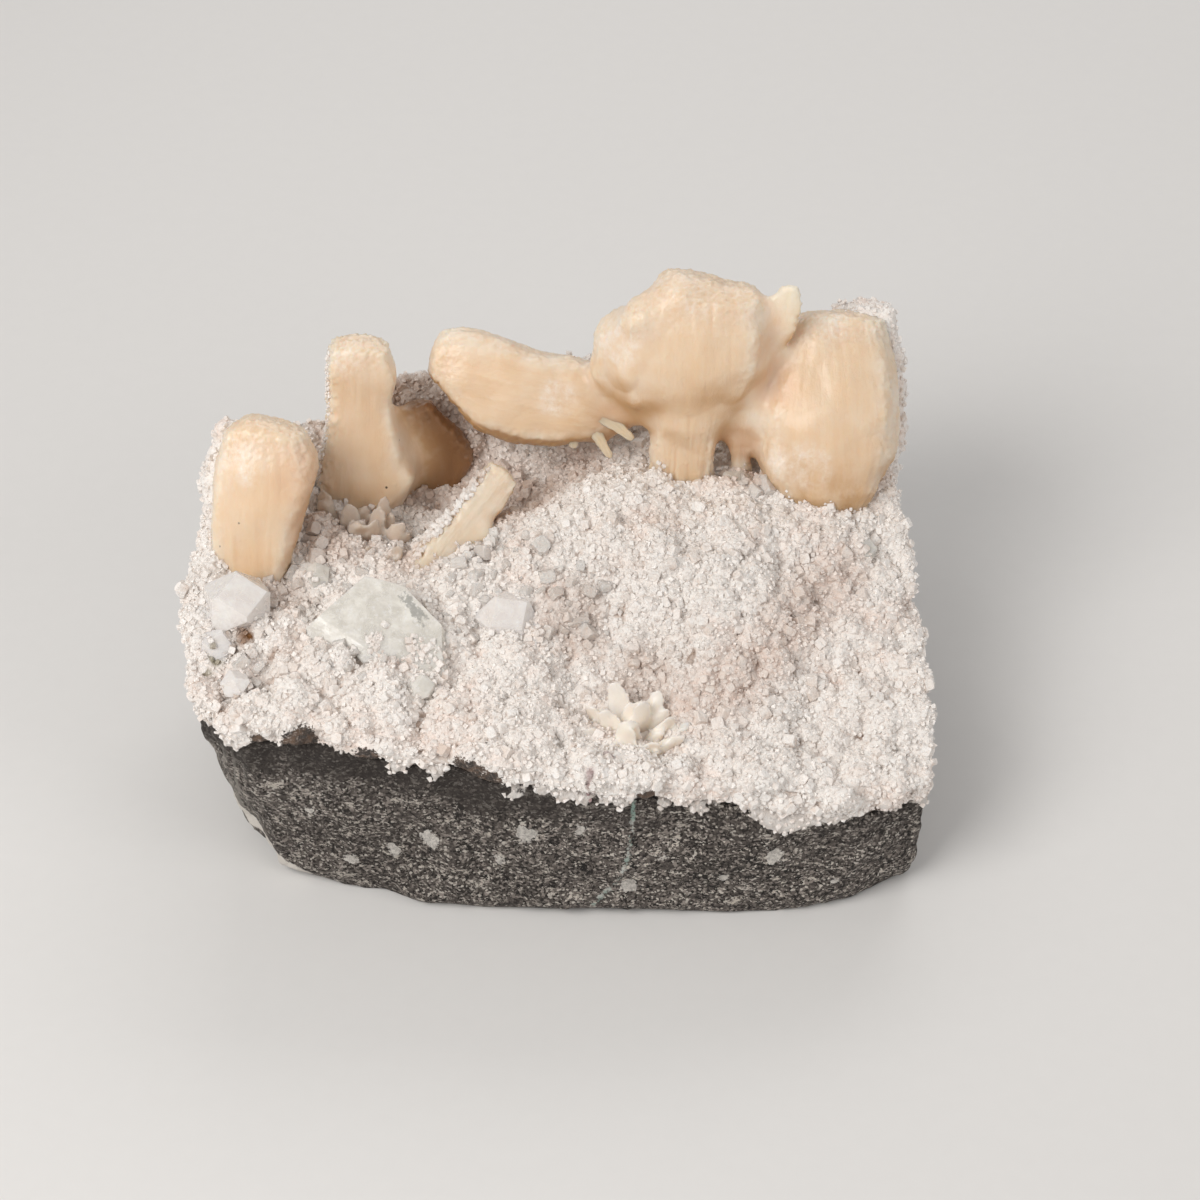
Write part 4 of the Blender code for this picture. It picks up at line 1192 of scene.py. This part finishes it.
def right_cluster():
    bar = sheaf(
        root=(6.0, 20.5, 46.0), up=(-1.0, 0.05, 0.2), face=(0.1, -0.9, 0.45), rounding=0.38,
        domes=(1.8, 0.0), peak=0.3, seed=21, stations=(
            (-6.0, 3.0, 3.5, 3.5, 3.5),
            (0.0, 5.8, 5.2, 4.2, 4.0),
            (5.0, 7.6, 6.1, 4.8, 4.4),
            (11.0, 8.5, 6.1, 5.2, 4.8),
            (18.0, 7.2, 7.1, 5.0, 5.0),
            (22.0, 4.2, 7.3, 4.4, 4.6),
            (24.6, 1.4, 6.0, 3.4, 3.8),
        ),
    )
    leg = sheaf(
        root=(5.0, 18.5, 43.5), up=(-0.5, 0.3, 0.8), face=(0.4, -0.9, 0.2), seed=22,
        stations=((-3.0, 1.6, 2.0, 0.9, 0.9), (3.0, 3.4, 3.4, 2.4, 2.4)),
    )
    stem = sheaf(
        root=(19.0, 15.8, 45.0), up=(0.0, 0.1, 1.0), face=(0.0, -1.0, 0.15), domes=(0, 0),
        ribs=0.3, ochre=0.3, seed=23, stations=(
            (-14.0, 5.0, 4.2, 4.0, 5.0),
            (-6.0, 5.4, 4.4, 4.0, 5.0),
            (0.0, 5.6, 4.9, 4.1, 5.0),
            (5.0, 6.0, 6.2, 4.2, 5.5),
            (10.0, 6.0, 7.0, 3.0, 5.0),
        ),
    )
    crown = sheaf(
        root=(19.0, 16.5, 44.4), up=(0.0, 0.16, 0.98), face=(0.0, -1.0, 0.15), rounding=0.36,
        domes=(4.4, 1.6), peak=-0.4, seed=24, stations=(
            (-1.0, 0.0, 5.6, 2.0, 4.5),
            (3.0, 4.2, 7.8, 4.2, 6.0),
            (8.0, 7.2, 10.4, 6.0, 7.5),
            (13.0, 8.4, 11.8, 6.8, 8.0),
            (17.5, 7.6, 11.9, 5.8, 7.2),
            (20.6, 5.6, 11.3, 4.0, 5.6),
        ),
    )
    left_lobe = sheaf(
        root=(11.5, 18.5, 46.0), up=(-0.05, 0.1, 1.0), face=(-0.3, -1.0, 0.2), rounding=0.45,
        domes=(9.0, 1.4), peak=0.95, pallor=0.8, seed=25, stations=(
            (-0.5, 3.2, 4.5, 2.6, 4.0),
            (4.0, 6.0, 6.5, 4.2, 5.0),
            (8.5, 6.4, 7.0, 5.2, 5.4),
            (11.0, 5.4, 7.0, 4.4, 4.8),
        ),
    )
    shoulder = sheaf(
        root=(12.6, 16.6, 46.0), up=(-0.02, 0.12, 1.0), face=(-0.4, -1.0, 0.2), rounding=0.45,
        domes=(6.5, 1.0), peak=0.6, pallor=0.5, seed=30, stations=(
            (0.5, 2.0, 3.0, 1.8, 4.0),
            (5.0, 3.8, 4.0, 4.6, 4.0),
            (10.0, 4.8, 4.4, 5.6, 4.0),
            (15.0, 4.0, 4.2, 4.2, 4.0),
        ),
    )
    right_lobe = sheaf(
        root=(27.0, 17.5, 45.0), up=(0.05, 0.15, 1.0), face=(0.35, -1.0, 0.1), rounding=0.4,
        seed=26, stations=(
            (-4.0, 1.5, 1.5, 1.6, 2.0),
            (1.0, 3.2, 2.4, 3.0, 4.0),
            (9.0, 4.2, 3.4, 4.2, 5.0),
            (18.0, 4.6, 3.2, 3.6, 4.6),
        ),
    )
    second_stem = sheaf(
        root=(27.3, 16.0, 38.0), up=(0.0, 0.12, 1.0), face=(0.0, -1.0, 0.1), pallor=1.0,
        ochre=0.0, seed=27, stations=(
            (-7.0, 1.3, 1.5, 1.4, 1.4),
            (0.0, 1.4, 1.7, 1.6, 1.6),
            (6.0, 3.4, 2.8, 2.4, 2.4),
            (12.0, 5.6, 4.2, 3.4, 3.4),
        ),
    )
    blade = sheaf(
        root=(31.0, 19.0, 52.0), up=(0.14, 0.08, 1.0), face=(-0.3, -1.0, 0.15), rounding=0.25,
        domes=(4.2, 0.0), peak=0.5, teeth=0.1, pallor=1.0, seed=28, stations=(
            (-7.0, 1.8, 1.4, 1.0, 1.2),
            (6.0, 2.6, 2.2, 0.9, 1.0),
            (12.4, 2.4, 3.0, 0.6, 0.6),
        ),
    )
    ball = sheaf(
        root=(40.5, 16.5, 45.0), up=(-0.05, 0.51, 0.86), face=(0.0, -0.86, 0.51),
        rounding=0.42, domes=(2.2, 2.2), seed=29, stations=(
            (-13.0, 5.6, 4.8, 3.2, 6.0),
            (-9.6, 9.0, 7.2, 6.0, 9.0),
            (-4.5, 10.9, 10.0, 7.6, 11.0),
            (2.0, 11.0, 10.8, 7.6, 12.0),
            (9.0, 8.6, 10.4, 5.6, 11.5),
            (14.6, 5.4, 9.2, 3.2, 9.0),
        ),
    )
    return [crown, stem, bar, leg, left_lobe, shoulder, right_lobe, second_stem, blade, ball]


def small_sheaf():
    main = sheaf(
        root=(-14.3, 2.6, 37.3), up=(0.64, 0.58, 0.5), face=(0.3, -0.9, 0.4), rounding=0.25,
        frill=(0.4, 0.1), pallor=0.9, ochre=0.4, seed=31, stations=(
            (-12.5, 2.0, 3.4, 2.2, 2.4),
            (-7.0, 2.6, 4.2, 2.1, 2.3),
            (-2.0, 2.4, 3.6, 2.0, 2.0),
            (3.5, 2.6, 3.4, 1.9, 1.9),
            (8.6, 2.9, 2.4, 1.7, 1.7),
        ),
    )
    beside = sheaf(
        root=(-13.0, 0.0, 34.0), up=(0.6, 0.4, 0.6), face=(0.4, -0.8, 0.4), seed=32,
        stations=((-5.0, 1.4, 1.4, 1.2, 1.2), (3.5, 1.8, 1.8, 1.2, 1.2)),
    )
    return [main, beside]


def blade_forms(blades, root_level, seed, copies=2, dome=0.34, rounding=0.5):
    """Short thin blades: (x, y) of each root, lean right and back, width, height.

    Slimmer copies lean against each blade.
    """
    rng = random_source(seed)
    made = []
    for x, y, right, back, width, height in blades:
        for copy in range(copies + 1):
            slim = 1.0 if copy == 0 else rng.uniform(0.6, 0.9)
            lean = np.array([right, back]) + (0.0 if copy == 0 else rng.normal(0.0, 0.2, 2))
            off = rng.normal(0.0, 0.7, 2) * (copy > 0)
            half, tall = slim * width / 2, slim * height
            made.append(sheaf(
                root=(x + off[0], y + off[1], root_level), up=(lean[0], lean[1], 1.0),
                face=(0.6 * lean[0] + 0.3 * rng.normal(), -1.0, 0.3),
                rounding=rounding, domes=(dome * tall, 0.0), peak=rng.uniform(-0.3, 0.3),
                teeth=0.12, frill=(0.08, 0.08), ribs=0.05, seed=seed + len(made),
                cell=BLADE_CELL, stations=(
                    (-2.5, 0.6 * half, 0.6 * half, 0.3, 0.3),
                    (0.35 * tall, half, half, 0.45, 0.45),
                    ((1 - dome) * tall, 0.8 * half, 0.8 * half, 0.22, 0.22),
                ),
            ))
    return made


ROSETTE_LEVEL = 24.2
ROSETTE_BLADES = (
    (10.0, -31.6, 0.0, -0.2, 4.2, 7.0),
    (9.2, -27.0, -0.2, 0.35, 3.6, 7.2),
    (12.6, -27.6, 0.35, 0.25, 3.4, 6.6),
    (6.8, -28.2, -0.6, 0.15, 3.4, 5.4),
    (13.4, -30.2, 0.7, 0.0, 3.4, 5.8),
    (6.6, -31.2, -0.8, -0.15, 3.2, 4.8),
    (14.6, -32.2, 0.9, -0.25, 3.0, 5.0),
    (11.3, -29.2, 0.15, 0.05, 3.6, 6.8),
    (8.4, -29.8, -0.35, 0.0, 3.4, 6.2),
    (12.4, -32.8, 0.45, -0.5, 3.0, 4.8),
    (8.4, -33.0, -0.3, -0.55, 3.0, 4.2),
    (10.6, -34.0, 0.1, -0.8, 2.8, 4.0),
    (16.0, -29.8, 1.1, 0.1, 2.6, 4.4),
    (5.0, -29.6, -1.0, 0.1, 2.6, 3.8),
)
THIN_LEVEL = 32.0
THIN_BLADES = (
    (-34.5, 6.0, -0.15, 0.2, 3.2, 8.0),
    (-31.5, 4.5, 0.0, 0.1, 3.6, 7.0),
    (-28.2, 3.5, 0.2, 0.1, 3.0, 7.4),
    (-25.5, 2.5, 0.35, 0.0, 2.6, 6.0),
    (-33.0, 1.0, 0.1, -0.1, 2.6, 5.0),
    (-30.0, 2.0, -0.1, 0.05, 3.0, 6.0),
    (-27.0, 5.5, 0.1, 0.2, 2.6, 7.2),
    (-35.0, 3.2, -0.3, 0.0, 2.4, 5.6),
    (-29.0, -0.6, 0.15, -0.2, 2.2, 4.4),
    (-25.0, -0.5, 0.3, -0.2, 2.2, 4.4),
)


def leg_blades():
    """Thin blades that hang from the right end of the lying sheaf."""
    blades = [
        sheaf(
            root=root, up=up, face=(0.35, -0.9, 0.25), rounding=0.4, domes=(1.0, 0.0), teeth=0.1,
            frill=(0.1, 0.1), ribs=0.1, ochre=0.7, seed=61 + index,
            cell=BLADE_CELL, stations=(
                (0.0, 1.5, 1.5, 0.9, 0.9),
                (0.5 * length, 1.2, 1.0, 0.6, 0.6),
                (length, 0.6, 0.7, 0.35, 0.35),
            ),
        )
        for index, (root, up, length) in enumerate((
            ((2.8, 17.4, 47.6), (0.5, -0.28, -0.8), 8.6),
            ((5.4, 17.2, 47.0), (0.8, -0.28, -0.55), 6.2),
            ((0.8, 17.6, 47.0), (0.2, -0.25, -0.9), 5.6),
        ))
    ]
    for blade in blades:
        blade["ends"] = blade["ends"] * (0.3, 0.3, 1.0)
    return blades


def crust_walls():
    """White crust beside the sheaves at the left edge and at the right edge."""
    left_wall = sheaf(
        root=(-49.0, 1.5, 34.0), up=(0.0, 0.36, 0.93), face=(-0.15, -0.93, 0.36), seed=71,
        domes=(1.2, 0.0), stations=(
            (-2.0, 3.4, 4.0, 2.2, 2.2),
            (7.0, 3.9, 4.0, 2.0, 2.0),
            (13.0, 3.4, 3.4, 1.6, 1.6),
            (18.0, 1.2, 2.4, 1.2, 1.2),
        ),
    )
    right_wall = sheaf(
        root=(47.5, 18.5, 35.0), up=(0.0, 0.32, 0.95), face=(0.1, -0.95, 0.32), seed=72,
        domes=(1.0, 0.0), peak=0.8, stations=(
            (-2.0, 3.0, 4.2, 2.4, 2.4),
            (8.0, 3.0, 5.0, 2.2, 2.2),
            (16.0, 3.0, 4.2, 1.9, 1.9),
            (24.6, 4.6, 2.4, 1.4, 1.4),
        ),
    )
    return left_wall, right_wall


left, tall, right, small = left_sheaf(), tall_sheaf(), right_cluster(), small_sheaf()
united("stilbite_left", left, stilbite_material, ("stilbite_sheaf_left",), swell=0.5)
united("stilbite_tall", tall, stilbite_material, ("stilbite_sheaf_tall",), swell=0.4,
       shadowed=0.2)
united("stilbite_right", right, stilbite_material, ("stilbite_right_cluster",))
united("stilbite_small", small, stilbite_material, ("stilbite_small_sheaf",), swell=0.3)
united("rosette_blades", blade_forms(ROSETTE_BLADES, ROSETTE_LEVEL, 41), petal_material,
       ("stilbite_rosette",), voxel=BLADE_CELL, swell=0.0, rounds=2)
thin = blade_forms(THIN_BLADES, THIN_LEVEL, 91, copies=3, dome=0.3, rounding=0.3)
united("thin_blades", thin, blade_material, ("stilbite_blades",), voxel=BLADE_CELL, swell=0.0,
       rounds=1)
separate("leg_blades", leg_blades(), stilbite_material)
left_wall, right_wall = crust_walls()
crusty("crust_wall_left", left_wall, 17)
crusty("crust_wall_right", right_wall, 18)
fringe("small_sheaf_fringe", small[0], (0.3, 0.6), 0.55, 15)
fringe("tall_sheaf_fringe", tall[0], (0.15, 0.35), 0.5, 16)

MILKY = ("apophyllite_left", "apophyllite_centre", "apophyllite_front_left")
grown_over = [
    bpy.data.objects[name].data
    for name in ("stilbite_left", "stilbite_tall", "stilbite_right", "stilbite_small")
]
for name, node in frame["nodes"].items():
    if not name.startswith("apophyllite"):
        continue
    grown_over.append(node.data)
    node.data.materials.clear()
    node.data.materials.append(milky_material if name in MILKY else apophyllite_material)
    bevel = node.modifiers.new("Bevel", "BEVEL")
    bevel.width = BEVEL_WIDTH * MM
    bevel.limit_method = "ANGLE"
    bevel.angle_limit = math.radians(BEVEL_ANGLE)
build_drift(grown_over, skin_points)


def build_floor():
    mesh = bpy.data.meshes.new("floor")
    signs = ((-1, -1), (1, -1), (1, 1), (-1, 1))
    corners = [(x * FLOOR_REACH, y * FLOOR_REACH, 0) for x, y in signs]
    mesh.from_pydata(corners, [], [(0, 1, 2, 3)])
    look = Look("floor_look", Roughness=0.6)
    look.set("Base Color", look.mix(look.noise(3.0), (0.72, 0.71, 0.70), (0.74, 0.73, 0.72)))
    mesh.materials.append(look.material)
    linked("floor", mesh)


def add_light(name, place, size, power, colour):
    data = bpy.data.lights.new(name, "AREA")
    data.shape = "RECTANGLE"
    data.size, data.size_y = size
    data.energy = power
    data.color = colour
    light = linked(name, data)
    light.location = place
    light.rotation_euler = (LIGHT_AIM - Vector(place)).to_track_quat("-Z", "Y").to_euler()


def build_lights():
    add_light("key", (-0.36, -0.34, 0.50), (0.40, 0.40), 3.4, (1.0, 0.98, 0.95))
    add_light("fill", (0.55, -0.30, 0.35), (0.4, 0.4), 1.0, (1.0, 0.98, 0.96))
    add_light("back", (0.10, 0.55, 0.45), (0.6, 0.3), 1.3, (1.0, 0.98, 0.96))
    world = bpy.context.scene.world or bpy.data.worlds.new("world")
    bpy.context.scene.world = world
    world.use_nodes = True
    background = world.node_tree.nodes["Background"]
    background.inputs["Color"].default_value = (1.0, 0.98, 0.96, 1.0)
    background.inputs["Strength"].default_value = 0.32


def build_camera():
    data = bpy.data.cameras.new("camera")
    data.lens = CAMERA_LENS
    data.sensor_width = CAMERA_SENSOR
    camera = linked("camera", data)
    tilt = math.radians(CAMERA_ELEVATION)
    back = Vector((0.0, -math.cos(tilt), math.sin(tilt)))
    camera.location = Vector(CAMERA_TARGET) + back * CAMERA_DISTANCE
    camera.rotation_euler = (math.pi / 2 - tilt, 0.0, 0.0)
    bpy.context.scene.camera = camera


build_floor()
build_lights()
build_camera()
bpy.context.scene.view_settings.view_transform = "Standard"
